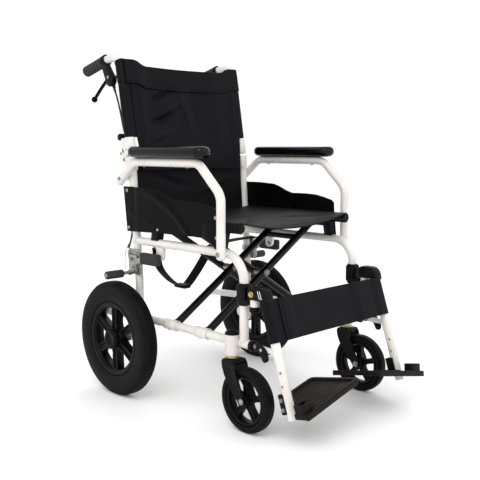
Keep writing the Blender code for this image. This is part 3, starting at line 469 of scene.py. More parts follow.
def block(name: str, low: Vector, high: Vector, edge: float = 0.0015, segments: int = 3
          ) -> bpy.types.Object:
    """A rectangular body between two corners, with its edges rounded."""
    deselect()
    bpy.ops.mesh.primitive_cube_add(size=1.0, location=(low + high) / 2.0)
    obj = bpy.context.object
    obj.name = name
    size = [abs(high[i] - low[i]) for i in range(3)]
    bpy.ops.transform.resize(value=size)
    bpy.ops.object.transform_apply(location=True, rotation=True, scale=True)
    edit(obj, "EDGE")
    bpy.ops.mesh.bevel(offset=edge, segments=segments, affect="EDGES")
    close_edit()
    return obj


def rod(name: str, start: Vector, end: Vector, radius: float, edge: float = 0.0006,
        sides: int = 24) -> bpy.types.Object:
    """A turned rod between two points with broken end edges."""
    span = end - start
    edge = min(edge, radius * 0.4, span.length * 0.4)
    profile = [(0.0, 0.0), (0.0, radius - edge), (edge, radius),
               (span.length - edge, radius), (span.length, radius - edge), (span.length, 0.0)]
    return turned(name, profile, start, span, sides)


def slab(name: str, outline: Outline, place: Callable[[float, float, float], Vector],
         span: tuple[float, float], edge: float = 0.0008, segments: int = 2
         ) -> bpy.types.Object:
    """Extrude an outline between two offsets and round its edges.

    Args:
        name: Object name.
        outline: Points (u, v), in order.
        place: Maps (u, v, offset) to the frame.
        span: The two offsets.
        edge: Radius of the edges, or 0.
        segments: Steps of the rounding.

    Returns:
        The slab.
    """
    points = [place(u, v, span[0]) for u, v in outline]
    obj = from_points(name, points, faces=[range(len(points))])
    rise = place(0.0, 0.0, span[1]) - place(0.0, 0.0, span[0])
    edit(obj, "FACE")
    bpy.ops.mesh.extrude_region_move(TRANSFORM_OT_translate={"value": rise})
    bpy.ops.mesh.select_all(action="SELECT")
    bpy.ops.mesh.normals_make_consistent(inside=False)
    close_edit()
    if edge:
        round_edges(obj, edge, segments)
    return obj


def side_plane(side: Side) -> Callable[[float, float, float], Vector]:
    """Outline (y, z), with the offset along X."""
    return lambda u, v, offset: side.at(offset, u, v)


def arc(centre: Point, radius: float, start: float, end: float, steps: int = 10) -> Outline:
    """Points of an arc between two angles in degrees."""
    turns = [math.radians(start + (end - start) * i / steps) for i in range(steps + 1)]
    return [(centre[0] + radius * math.cos(a), centre[1] + radius * math.sin(a)) for a in turns]


def link(start: Point, end: Point, start_r: float, end_r: float, steps: int = 10) -> Outline:
    """Outline of a flat link: two round ends joined by straight flanks."""
    heading = math.degrees(math.atan2(end[1] - start[1], end[0] - start[0]))
    return (arc(end, end_r, heading - 90.0, heading + 90.0, steps)
            + arc(start, start_r, heading + 90.0, heading + 270.0, steps))


class Head(Enum):
    """Head forms of screws and bolts."""

    HEX = 6
    DOME = 24
    CAP = 20


def bolt(name: str, seat: Vector, axis: Vector, radius: float, height: float,
         head: Head = Head.DOME) -> bpy.types.Object:
    """A fastener's head: a washer with a hex, domed or socket cap head on it.

    Args:
        name: Object name.
        seat: Middle of the face that the washer lies on.
        axis: Direction that the head points in.
        radius: Radius of the head.
        height: Height of the head above its washer.
        head: Form of the head.

    Returns:
        The head and its washer as one object.
    """
    along = axis.normalized()
    washer = rod(f"{name}_washer", seat - along * 0.0004, seat + along * 0.0010, radius * 1.25)
    if head is Head.DOME:
        dome = [(0.0010, radius)] + [(0.0010 + height * math.sin(t), radius * math.cos(t))
                                     for t in (0.3, 0.6, 0.9, 1.2)] + [(0.0010 + height, 0.0)]
        top = turned(f"{name}_head", [(0.0, 0.0), (0.0, radius)] + dome, seat, along, 24)
        return join(name, [top, washer])
    deselect()
    bpy.ops.mesh.primitive_cylinder_add(
        vertices=head.value, radius=radius, depth=height,
        location=seat + along * (0.0008 + height / 2.0),
        rotation=along.to_track_quat("Z", "Y").to_euler())
    top = bpy.context.object
    bpy.ops.object.transform_apply(location=True, rotation=True, scale=True)
    round_edges(top, min(0.0005, radius * 0.15), 2, 30.0)
    select_faces(top, lambda f: f.normal.dot(along) > 0.99 and f.area > radius * radius)
    bpy.ops.mesh.inset(thickness=radius * 0.35, depth=0.0)
    bpy.ops.mesh.inset(thickness=radius * 0.06, depth=-height * (0.5 if head is Head.CAP else 0.12))
    close_edit()
    return join(name, [top, washer])


def join(name: str, parts: Sequence[bpy.types.Object]) -> bpy.types.Object:
    """Join objects into the first of them and name it."""
    deselect()
    for part in parts:
        part.select_set(True)
    bpy.context.view_layer.objects.active = parts[0]
    if len(parts) > 1:
        bpy.ops.object.join()
    obj = bpy.context.object
    obj.name = name
    return obj


def weld_bead(name: str, foot: Vector, along: Vector, across: Vector, radius: float,
              main_radius: float, bead: float = 0.0014) -> bpy.types.Object:
    """The weld where a round part runs square into a tube.

    Args:
        name: Object name.
        foot: Point of the main tube's axis under the branch.
        along: Unit vector from the main tube to the branch.
        across: Unit vector along the main tube.
        radius: Radius of the branch.
        main_radius: Radius of the main tube.
        bead: Radius of the bead.

    Returns:
        The bead, with the ripples of its passes.
    """
    side = along.cross(across).normalized()
    loop = []
    steps = 60
    for step in range(steps):
        turn = 2.0 * math.pi * step / steps
        aside = radius * math.sin(turn)
        rise = math.sqrt(max(main_radius ** 2 - aside ** 2, 0.0))
        swell = 1.0 + 0.06 * math.sin(turn * 15.0)
        loop.append(foot + across * (radius * math.cos(turn) * swell) + side * (aside * swell)
                    + along * rise)
    return tube(name, loop, bead, 8, ring=True)


@dataclass
class Roll:
    """Pieces settled so far, with the cleaning and the log line that each one gets."""

    names: list[str] = field(default_factory=list)

    def settle(self, obj: bpy.types.Object, body: str, finish: Finish,
               replaces: Sequence[str] = (), angle: float = 38.0) -> bpy.types.Object:
        """Clean a piece's mesh, shade it, give it its finish and let it ride on a body.

        Args:
            obj: The piece, in its place.
            body: Name of the body that it moves with.
            finish: Its finish.
            replaces: Nodes of the frame that it stands for.
            angle: Edges sharper than this many degrees stay sharp.

        Returns:
            The same piece.
        """
        self.clean(obj, finish, angle)
        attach(obj, body)
        self.record(obj, finish, replaces)
        return obj

    def bend(self, obj: bpy.types.Object, start: Vector, end: Vector,
             finish: Finish, replaces: Sequence[str] = ()) -> bpy.types.Object:
        """Clean a piece and bake its place into its mesh, leaving it on no body."""
        self.clean(obj, finish, 60.0)
        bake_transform(obj)
        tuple(start)
        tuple(end)
        self.record(obj, finish, replaces)
        return obj

    def clean(self, obj: bpy.types.Object, finish: Finish, angle: float) -> None:
        """Merge doubles, turn the faces outward, shade smooth and paint."""
        focus(obj)
        bpy.ops.object.transform_apply(location=True, rotation=True, scale=True)
        edit(obj)
        bpy.ops.mesh.remove_doubles(threshold=0.00001)
        bpy.ops.mesh.normals_make_consistent(inside=False)
        close_edit()
        bpy.ops.object.shade_smooth_by_angle(angle=math.radians(angle))
        obj.data.materials.clear()
        obj.data.materials.append(finish.material())

    def record(self, obj: bpy.types.Object, finish: Finish, replaces: Sequence[str]) -> None:
        """Hide the nodes stood for, note the piece's name and log it."""
        if replaces:
            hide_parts(*replaces)
        self.names.append(obj.name)
        LOG.info("%s: %d faces, %s", obj.name, len(obj.data.polygons), finish.name)


ROLL = Roll()

# ---------------------------------------------------------------- side frames


@dataclass
class SideFrame:
    """Tubes, arm, side panel and hardware of one side frame."""

    side: Side
    tube_r: float = 0.011
    frame_x: float = 0.2086
    seat_rail_z: float = 0.4165
    lower_rail_z: float = 0.207
    leg_y: float = -0.4235
    post_y: float = -0.021
    post_knee_z: float = 0.310
    post_top: tuple[float, float] = (0.0035, 0.640)
    axle_z: float = 0.155
    caster_x: float = 0.2207
    swivel_y: float = -0.396
    arm_x: float = 0.2347
    arm_z: float = 0.629
    hinge: tuple[float, float] = (0.028, 0.634)

    @property
    def body(self) -> str:
        """Name of this frame's body."""
        return f"frame_{self.side.tag}"

    def at(self, y: float, z: float, x: float | None = None) -> Vector:
        """Point of this side, on the frame's middle plane unless x is given."""
        return self.side.at(self.frame_x if x is None else x, y, z)

    def name(self, stem: str) -> str:
        """A piece's name on this side."""
        return f"{stem}_{self.side.tag}"

    def lean_y(self, z: float) -> float:
        """Y of the rear post's middle at a height."""
        slope = (self.post_top[0] - self.post_y) / (self.post_top[1] - self.post_knee_z)
        return self.post_y + max(0.0, z - self.post_knee_z) * slope

    def build(self) -> None:
        """Build all of the frame's pieces."""
        self.rear_post()
        self.rails()
        self.armrest()
        self.side_panel()
        self.footrest_casting()
        self.seat_rail_fittings()
        self.parking_bracket()

    def rear_post(self) -> None:
        """Post, axle boss, tipping tube and the hinge casting at the top."""
        lean = (self.at(*self.post_top) - self.at(self.post_y, self.post_knee_z)).normalized()
        path = round_corners([self.at(self.post_y, 0.132), self.at(self.post_y, self.post_knee_z),
                              self.at(*self.post_top)], 0.25, 8)
        parts = [tube(self.name("post_tube"), path, self.tube_r, 28)]
        axle = self.at(0.0, self.axle_z)
        inner = self.at(0.0, self.axle_z, 0.196)
        outer = self.at(0.0, self.axle_z, 0.2356)
        parts.append(rod(self.name("axle_boss"), inner, outer, 0.0150, 0.0015, 32))
        gusset = [(self.post_y - 0.004, 0.1335), (self.post_y - 0.004, 0.180),
                  (self.post_y + 0.004, 0.184), (0.004, 0.170), (0.006, 0.143)]
        parts.append(slab(self.name("axle_gusset"), gusset, side_plane(self.side),
                          (self.frame_x - 0.0045, self.frame_x + 0.0045), 0.001))
        tip_foot = self.at(self.post_y, self.lower_rail_z)
        tip_end = self.at(0.150, 0.1976)
        parts.append(tube(self.name("tipping_tube"), [tip_foot, tip_end], 0.0105, 28))
        parts.append(weld_bead(self.name("tipping_weld"), tip_foot, REARWARD, UP, 0.0108,
                               self.tube_r + 0.0006))
        parts.append(weld_bead(self.name("axle_weld"), axle + REARWARD * self.post_y,
                               self.side.out(), UP, 0.0125, self.tube_r))
        top = self.at(*self.post_top) + lean * 0.0015
        collar = [(0.0, self.tube_r), (0.0, 0.0138), (0.0015, 0.0145), (0.034, 0.0145),
                  (0.0360, 0.0130), (0.0360, 0.0)]
        parts.append(turned(self.name("hinge_sleeve"), collar, top - lean * 0.036, lean, 36))
        for offset in (0.0050, -0.0085):
            parts.append(slab(self.name("hinge_cheek"), link((0.010, 0.6225), self.hinge, 0.0088,
                                                             0.0086), side_plane(self.side),
                              (self.frame_x + offset, self.frame_x + offset + 0.0035), 0.0007))
        post = join(self.name("rear_post_tube"), parts)
        ROLL.settle(post, self.body, POWDER_COAT, [self.name("rear_post")])
        plugs = [rod(self.name("post_plug"), self.at(self.post_y, 0.1295),
                     self.at(self.post_y, 0.1345), self.tube_r + 0.0006, 0.001),
                 rod(self.name("tipping_plug"), self.at(0.148, 0.1977),
                     self.at(0.1655, 0.1967), 0.0120, 0.0025)]
        ROLL.settle(join(self.name("tube_plugs"), plugs), self.body, NYLON)
        pin_in = self.side.at(self.frame_x - 0.0088, self.hinge[0], self.hinge[1])
        pin_out = self.side.at(self.frame_x + 0.0088, self.hinge[0], self.hinge[1])
        screws = [bolt(self.name("hinge_rivet"), pin_out, self.side.out(), 0.0042, 0.0016),
                  bolt(self.name("hinge_tail"), pin_in, -self.side.out(), 0.0036, 0.0014),
                  bolt(self.name("sleeve_bolt"), self.at(-0.0015, 0.6105, self.frame_x + 0.0138),
                       self.side.out(), 0.0030, 0.0014)]
        ROLL.settle(join(self.name("hinge_pins"), screws), self.body, ZINC)

    def rails(self) -> None:
        """Seat rail bending into the leg, lower rail, caster housing and front pin."""
        start = self.at(self.lean_y(self.seat_rail_z) + 0.002, self.seat_rail_z)
        path = round_corners([start, self.at(self.leg_y, self.seat_rail_z),
                              self.at(self.leg_y, self.lower_rail_z)], 0.064, 16)
        parts = [tube(self.name("rail_and_leg"), path, self.tube_r, 28)]
        parts.append(weld_bead(self.name("rail_weld"), self.at(self.lean_y(self.seat_rail_z),
                                                               self.seat_rail_z),
                               FORWARD, UP, self.tube_r, self.tube_r + 0.0006))
        ROLL.settle(join(self.name("seat_rail_tube"), parts), self.body, POWDER_COAT,
                    [self.name("seat_rail")])
        rail_start = self.at(self.post_y, self.lower_rail_z)
        rail_end = self.at(-0.447, self.lower_rail_z)
        parts = [tube(self.name("lower_tube"), [rail_start, rail_end], self.tube_r, 28)]
        parts.append(weld_bead(self.name("lower_weld"), rail_start, FORWARD, UP, self.tube_r,
                               self.tube_r + 0.0006))
        leg_foot = self.at(self.leg_y, self.lower_rail_z)
        parts.append(weld_bead(self.name("leg_weld"), leg_foot, UP, FORWARD, self.tube_r,
                               self.tube_r + 0.0006))
        swivel = self.side.at(self.caster_x, self.swivel_y, 0.0)
        shell = [(0.0, 0.0130), (0.0, 0.0168), (0.0012, 0.0175), (0.0494, 0.0175),
                 (0.0506, 0.0165), (0.0506, 0.0)]
        parts.append(turned(self.name("caster_housing"), shell, swivel + UP * 0.177, UP, 40))
        ROLL.settle(join(self.name("lower_rail_tube"), parts), self.body, POWDER_COAT,
                    [self.name("lower_rail")])
        ring = [(0.0, 0.0), (0.0, 0.0125), (0.0010, 0.0131), (0.0100, 0.0131), (0.0110, 0.0120),
                (0.0110, 0.0)]
        stop = turned(self.name("front_stop"), ring, self.at(-0.447, self.lower_rail_z), FORWARD,
                      32)
        cap = [(0.0, 0.0178), (0.0018, 0.0183), (0.0036, 0.0176), (0.0066, 0.0150),
               (0.0088, 0.0100), (0.0098, 0.0045), (0.0100, 0.0)]
        dome = turned(self.name("housing_dome"), [(0.0, 0.0), *cap], swivel + UP * 0.2277, UP, 40)
        ROLL.settle(join(self.name("frame_caps"), [stop, dome]), self.body, NYLON)
        pin = rod(self.name("footrest_pin"), self.at(-0.4575, self.lower_rail_z),
                  self.at(-0.4755, self.lower_rail_z), 0.0072, 0.0015)
        ROLL.settle(pin, self.body, ZINC)
        bearing = [(0.0, 0.0090), (0.0, 0.0150), (0.0012, 0.0160), (0.0042, 0.0160),
                   (0.0050, 0.0150), (0.0062, 0.0150), (0.0062, 0.0090)]
        ROLL.settle(turned(self.name("bearing_cup"), bearing, swivel + UP * 0.1710, UP, 40, True),
                    self.body, BRASSED)

    def armrest(self) -> None:
        """Bent arm tube with its flattened foot, the pad and their screws."""
        x = self.arm_x
        foot_z = 0.408
        corners = [self.at(0.0246, 0.574, x), self.at(-0.044, self.arm_z, x),
                   self.at(-0.295, self.arm_z, x), self.at(-0.3726, 0.555, x),
                   self.at(-0.3726, foot_z, x)]
        parts = [tube(self.name("arm_bend"), round_corners(corners, 0.045, 12), self.tube_r, 28)]
        end = [(0.0, self.tube_r)] + [(self.tube_r * math.sin(t) * 0.6, self.tube_r * math.cos(t))
                                      for t in (0.3, 0.6, 0.9, 1.2)] + [(self.tube_r * 0.6, 0.0)]
        parts.append(turned(self.name("arm_foot"), [(0.0, 0.0), *end],
                            self.at(-0.3726, foot_z, x), -UP, 28))
        rear = (corners[0] - corners[1]).normalized()
        parts.append(turned(self.name("arm_tail"), [(0.0, 0.0), *end], corners[0], rear, 28))
        for y, z in ((-0.3726, self.seat_rail_z), (0.0120, 0.5841)):
            parts.append(rod(self.name("arm_spacer"), self.at(y, z, self.frame_x + 0.008),
                             self.at(y, z, x), 0.0070))
        ROLL.settle(join(self.name("arm_bar"), parts), self.body, POWDER_COAT,
                    [self.name("arm_tube")])
        screws = [bolt(self.name("arm_foot_bolt"),
                       self.at(-0.3726, self.seat_rail_z, x + self.tube_r - 0.0006),
                       self.side.out(), 0.0048, 0.0030, Head.CAP),
                  bolt(self.name("arm_tail_bolt"),
                       self.at(0.0120, 0.5841, x + self.tube_r - 0.0006),
                       self.side.out(), 0.0042, 0.0024, Head.CAP)]
        for y in (-0.085, -0.255):
            screws.append(bolt(self.name("pad_screw"), self.at(y, self.arm_z - self.tube_r + 0.0004,
                                                               x), -UP, 0.0036, 0.0020))
        ROLL.settle(join(self.name("arm_screws"), screws), self.body, ZINC)
        self.arm_pad()

    def arm_pad(self) -> None:
        """Moulded pad: round ends, crowned top, soft edges, a rib along its underside."""
        low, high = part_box(self.name("arm_pad"))
        middle_x = (low.x + high.x) / 2.0
        half = (high.x - low.x) / 2.0
        front, rear = low.y + half, high.y - half
        outline = arc((middle_x, rear), half, 0.0, 180.0, 24)
        outline += arc((middle_x, front), half, 180.0, 360.0, 24)
        pad = slab(self.name("arm_pad_skin"), outline, lambda u, v, w: Vector((u, v, w)),
                   (low.z + 0.0005, high.z), 0.0)
        round_edges(pad, 0.0128, 8, 50.0)
        rail = block(self.name("pad_rib"),
                     Vector((middle_x - 0.009, front - 0.005, low.z - 0.0006)),
                     Vector((middle_x + 0.009, rear + 0.005, low.z + 0.004)), 0.001)
        pad = join(pad.name, [pad, rail])
        ROLL.settle(pad, self.body, SKIN_FOAM, [self.name("arm_pad")])

    def side_panel(self) -> None:
        """Moulded skirt guard: a thin panel pressed with a long swept ridge."""
        outline = ([(0.026, 0.562), (-0.060, 0.5615), (-0.117, 0.559), (-0.136, 0.5545),
                    (-0.153, 0.548), (-0.172, 0.5405), (-0.192, 0.535), (-0.2435, 0.5355),
                    (-0.280, 0.5340), (-0.310, 0.5285), (-0.338, 0.5215), (-0.347, 0.514)]
                   + [(-0.351, 0.440), (-0.3485, 0.4315), (-0.343, 0.427), (-0.336, 0.4285),
                      (-0.330, 0.434), (-0.318, 0.447), (-0.259, 0.448), (-0.137, 0.446),
                      (0.012, 0.441)])
        outside = 0.2232
        panel = from_points(self.name("skirt_panel"),
                            [self.at(y, z, outside) for y, z in outline],
                            faces=[range(len(outline))])
        edit(panel, "FACE")
        bpy.ops.mesh.quads_convert_to_tris(quad_method="BEAUTY", ngon_method="BEAUTY")
        close_edit()
        self.press_panel(panel, outside)

    def press_panel(self, flat: bpy.types.Object, outside: float) -> None:
        """Cut the flat panel into a fine net, press the ridges in, and give it its wall."""
        step = 0.006
        edit(flat, "FACE")
        for axis, low, high in (((0, 1, 0), -0.36, 0.03), ((0, 0, 1), 0.42, 0.57)):
            place = low
            while place < high:
                bpy.ops.mesh.select_all(action="SELECT")
                point = (0.0, AXLE.y + place, 0.0) if axis[1] else (0.0, 0.0, place)
                bpy.ops.mesh.bisect(plane_co=point, plane_no=axis)
                place += step
        bpy.ops.mesh.select_all(action="SELECT")
        close_edit()
        for vertex in flat.data.vertices:
            y, z = vertex.co.y - AXLE.y, vertex.co.z
            rise = self.ridge(y, z) * 0.0044
            vertex.co.x = self.side.value * (outside - 0.0024 + rise)
        apply_modifier(flat, "SOLIDIFY", thickness=0.0022, offset=0.0)
        ROLL.settle(flat, self.body, PANEL, [self.name("skirt_guard")], 50.0)
        screws = []
        for y, z in ((-0.3405, 0.500), (-0.3435, 0.452), (0.010, 0.552), (0.004, 0.452),
                     (-0.120, 0.454)):
            screws.append(bolt(self.name("panel_screw"), self.at(y, z, outside - 0.0006),
                               self.side.out(), 0.0040, 0.0020))
        ROLL.settle(join(self.name("panel_screws"), screws), self.body, ZINC)

    def ridge(self, y: float, z: float) -> float:
        """Height, 0 to 1, of the pressed relief at a place on the side panel."""
        sweep = [(-0.030, 0.556), (-0.070, 0.551), (-0.108, 0.539), (-0.161, 0.516),
                 (-0.200, 0.490), (-0.238, 0.455), (-0.262, 0.420)]
        line = self.line_height(sweep, y)
        upper = math.exp(-((z - line) / 0.011) ** 2) if line else 0.0
        shelf = 0.35 / (1.0 + math.exp(-(line - z) / 0.004)) if line else 0.0
        low_sweep = [(0.000, 0.492), (-0.050, 0.482), (-0.100, 0.462), (-0.130, 0.440)]
        low_line = self.line_height(low_sweep, y)
        lower = 0.6 * math.exp(-((z - low_line) / 0.007) ** 2) if low_line else 0.0
        disc = math.hypot(y + 0.322, z - 0.462)
        boss = 0.7 / (1.0 + math.exp((disc - 0.024) / 0.002))
        return max(upper, shelf, lower, boss)

    @staticmethod
    def line_height(points: Outline, y: float) -> float:
        """Height of a line through points, read at y, or 0 outside it."""
        for (y0, z0), (y1, z1) in zip(points, points[1:]):
            if y1 <= y <= y0:
                t = (y0 - y) / (y0 - y1)
                return z0 + (z1 - z0) * t * t * (3.0 - 2.0 * t) * 0.4 + (z1 - z0) * t * 0.6
        return 0.0

    def footrest_casting(self) -> None:
        """Black casting round the leg, with its shelf below the footrest's elbow."""
        clamp = block(self.name("leg_clamp"), self.at(self.leg_y - 0.0148, 0.3040, 0.1935),
                      self.at(self.leg_y + 0.0138, 0.3500, 0.2236), 0.006, 5)
        shelf = block(self.name("clamp_shelf"), self.at(-0.4500, 0.3040, 0.1950),
                      self.at(self.leg_y, 0.3168, 0.2236), 0.004, 4)
        collar = [(0.0, self.tube_r), (0.0, 0.0138), (0.0015, 0.0146), (0.0500, 0.0146),
                  (0.0520, 0.0132), (0.0520, self.tube_r)]
        sleeve = turned(self.name("clamp_collar"), collar, self.at(self.leg_y, 0.3000), UP, 32,
                        True)
        ROLL.settle(join(self.name("footrest_casting"), [clamp, shelf, sleeve]), self.body, NYLON,
                    [self.name("hanger_clamp")])

    def seat_rail_fittings(self) -> None:
        """Saddles that carry the seat tube, and the lug with its bolt under the rail."""
        saddles = []
        for y in (-0.100, -0.345):
            outline = (arc((0.2000, 0.4770), 0.0135, 200.0, 340.0, 14)
                       + [(0.2165, 0.4450), (0.2195, 0.4250)]
                       + arc((self.frame_x, self.seat_rail_z), 0.0114, 40.0, 140.0, 14)
                       + [(0.1985, 0.4250), (0.1930, 0.4500)])
            saddles.append(slab(self.name("saddle"), outline,
                                lambda u, v, w: self.side.at(u, w, v), (y - 0.013, y + 0.013),
                                0.001))
        ROLL.settle(join(self.name("seat_saddles"), saddles), self.body, NYLON)
        outline = link((-0.115, 0.3830), (-0.115, 0.4050), 0.0125, 0.0125)
        lug = slab(self.name("rail_lug"), outline, side_plane(self.side),
                   (self.frame_x - 0.006, self.frame_x + 0.006), 0.001)
        ROLL.settle(lug, self.body, POWDER_COAT)
        bolts = [bolt(self.name("lug_bolt"), self.at(-0.115, 0.3800, self.frame_x + 0.0058),
                      self.side.out(), 0.0060, 0.0040, Head.HEX),
                 bolt(self.name("lug_nut"), self.at(-0.115, 0.3800, self.frame_x - 0.0058),
                      -self.side.out(), 0.0060, 0.0040, Head.HEX),
                 bolt(self.name("rail_screw"), self.at(-0.088, self.seat_rail_z - 0.0108), -UP,
                      0.0034, 0.0030)]
        ROLL.settle(join(self.name("rail_bolts"), bolts), self.body, ZINC)

    def parking_bracket(self) -> None:
        """Folded zinc bracket of the parking brake, its bolts and return spring."""
        plane = side_plane(self.side)
        x = self.frame_x + self.tube_r + 0.0004
        outline = [(-0.037, 0.392), (-0.033, 0.395), (0.004, 0.395), (0.009, 0.390),
                   (0.010, 0.384), (0.008, 0.340), (0.003, 0.331), (-0.004, 0.326),
                   (-0.042, 0.326), (-0.048, 0.332), (-0.050, 0.345)]
        plate = slab(self.name("bracket_plate"), outline, plane, (x, x + 0.0026), 0.0006)
        upper_fold = block(self.name("bracket_fold"), self.at(-0.034, 0.3850, x),
                           self.at(0.004, 0.3880, x + 0.0105), 0.0008)
        clip = block(self.name("bracket_clip"), self.at(-0.036, 0.372, 0.2215),
                     self.at(0.002, 0.380, 0.2305), 0.0015)
        strap = slab(self.name("post_strap"), arc((0.0, 0.0), self.tube_r + 0.0022, 90.0, 270.0, 20)
                     + arc((0.0, 0.0), self.tube_r + 0.0004, 270.0, 90.0, 20),
                     lambda u, v, w: self.side.at(self.frame_x - 0.002 + u, self.lean_y(w) + v, w),
                     (0.352, 0.366), 0.0)
        parts = [plate, upper_fold, clip, strap]
        for y, z in ((-0.030, 0.356), (-0.012, 0.344), (-0.004, 0.366), (0.002, 0.383)):
            parts.append(bolt(self.name("bracket_bolt"), self.at(y, z, x + 0.0024),
                              self.side.out(), 0.0046, 0.0034, Head.HEX))
        ROLL.settle(join(self.name("brake_bracket"), parts), self.body, ZINC,
                    [self.name("parking_bracket")])
        self.brake_parts()
        wire = smooth_path([self.at(0.0105, 0.3980, 0.2262), self.at(0.0128, 0.3820, 0.2290),
                            self.at(0.0120, 0.3560, 0.2320), self.at(0.0060, 0.3360, 0.2330)], 8)
        ROLL.settle(tube(self.name("brake_wire_end"), wire, 0.0008, 8), self.body, ZINC)

    def brake_parts(self) -> None:
        """Parking lever with its rubber pad, and the shoe with its roller over the tyre."""
        plane, side = side_plane(self.side), self.side
        lever_body, shoe_body = self.name("parking_lever"), self.name("brake_shoe")
        arm = slab("brake_arm", link((-0.0300, 0.3560), (-0.0700, 0.3740), 0.0070, 0.0060, 12),
                   plane, (0.2238, 0.2268), 0.0006)
        pivot = bolt("arm_pivot", side.at(0.2268, -0.0300, 0.3560), side.out(), 0.0042, 0.0026)
        ROLL.settle(join(self.name("brake_arm"), [arm, pivot]), lever_body, ZINC, [lever_body])
        pad = block(self.name("brake_pad"), side.at(0.2190, -0.1320, 0.3590),
                    side.at(0.2380, -0.0580, 0.3900), 0.0060, 5)
        ROLL.settle(pad, lever_body, GRIP)
        shoe = slab("shoe_arm", link((-0.0280, 0.3380), (0.0000, 0.3290), 0.0070, 0.0080, 12),
                    plane, (0.2238, 0.2278), 0.0006)
        parts = [shoe, bolt("shoe_pivot", side.at(0.2278, -0.0280, 0.3380), side.out(), 0.0040,
                            0.0026, Head.HEX),
                 rod("shoe_axle", side.at(0.2270, 0.0, 0.3290), side.at(0.3032, 0.0, 0.3290),
                     0.0050)]
        ROLL.settle(join(self.name("shoe_arm"), parts), shoe_body, ZINC, [shoe_body])
        profile = [(0.0, 0.0050), (0.0, 0.0095), (0.0015, 0.0110), (0.0500, 0.0110),
                   (0.0520, 0.0095), (0.0520, 0.0050)]
        roller = turned(self.name("shoe_roller"), profile, side.at(0.2500, 0.0, 0.3290),
                        side.out(), 36)
        ROLL.settle(roller, shoe_body, GRIP)

# ---------------------------------------------------------------- wheels and casters


@dataclass
class Wheel:
    """A spoked plastic wheel with a solid tyre."""

    side: Side
    stem: str
    body: str
    ring: Outline
    tread: Outline
    hub: Outline
    spokes: int
    spoke_span: tuple[float, float]
    spoke_half: tuple[float, float]
    spoke_depth: float
    nubs: int

    def build(self) -> None:
        """Tyre, then the rim with its spokes and hub."""
        low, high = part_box(f"{self.stem}_tyre_{self.side.tag}")
        self.centre = (low + high) / 2.0
        self.tyre()
        self.rim()

    def tyre(self) -> None:
        """Turned tyre whose shoulders carry short moulded bars."""
        name = f"{self.stem}_tread_{self.side.tag}"
        tyre = turned(name, self.tread, self.centre, Vector((1.0, 0.0, 0.0)), self.nubs * 2, True)
        axis = self.centre
        shoulder = [max(p[0] for p in self.tread) * 0.62, max(p[1] for p in self.tread) * 0.90]

        def on_bar(face: bpy.types.MeshPolygon) -> bool:
            place = face.center - axis
            turn = math.atan2(place.z, place.y) / (2.0 * math.pi) * self.nubs * 2
            radius = math.hypot(place.y, place.z)
            return int(math.floor(turn)) % 2 == 0 and radius > shoulder[1] and (
                abs(place.x) > shoulder[0])
        select_faces(tyre, on_bar)
        bpy.ops.mesh.inset(thickness=0.0009, depth=-0.0009, use_individual=True)
        close_edit()
        ROLL.settle(tyre, self.body, TYRE, [f"{self.stem}_tyre_{self.side.tag}"], 34.0)

    def rim(self) -> None:
        """Ring, recessed spokes and turned hub."""
        across = Vector((1.0, 0.0, 0.0))
        name = f"{self.stem}_wheel_{self.side.tag}"
        parts = [turned(name, self.ring, self.centre, across, 96, True),
                 turned(name, self.hub, self.centre, across, 48)]
        for index in range(self.spokes):
            parts.append(self.spoke(index))
        ROLL.settle(join(name, parts), self.body, NYLON, [f"{self.stem}_rim_{self.side.tag}"])

    def spoke(self, index: int) -> bpy.types.Object:
        """One spoke, wider at the hub, with a sunk panel between its two ribs."""
        turn = math.radians(90.0 + 360.0 * index / self.spokes)
        along = Vector((0.0, math.cos(turn), math.sin(turn)))
        aside = Vector((0.0, -math.sin(turn), math.cos(turn)))
        near, far = self.spoke_span
        wide, slim = self.spoke_half
        outline = [(near, -wide), (near + 0.3 * (far - near), -slim), (far, -slim * 1.15),
                   (far, slim * 1.15), (near + 0.3 * (far - near), slim), (near, wide)]
        centre = self.centre

        def place(u: float, v: float, w: float) -> Vector:
            return centre + along * u + aside * v + Vector((w, 0.0, 0.0))
        spoke = slab(f"spoke_{index}", outline, place, (-self.spoke_depth, self.spoke_depth), 0.0)
        select_faces(spoke, lambda f: abs(f.normal.x) > 0.99)
        bpy.ops.mesh.inset(thickness=slim * 0.42, depth=0.0, use_individual=True)
        bpy.ops.mesh.inset(thickness=slim * 0.10, depth=-self.spoke_depth * 0.45,
                           use_individual=True)
        close_edit()
        round_edges(spoke, 0.0009, 2, 40.0)
        return spoke


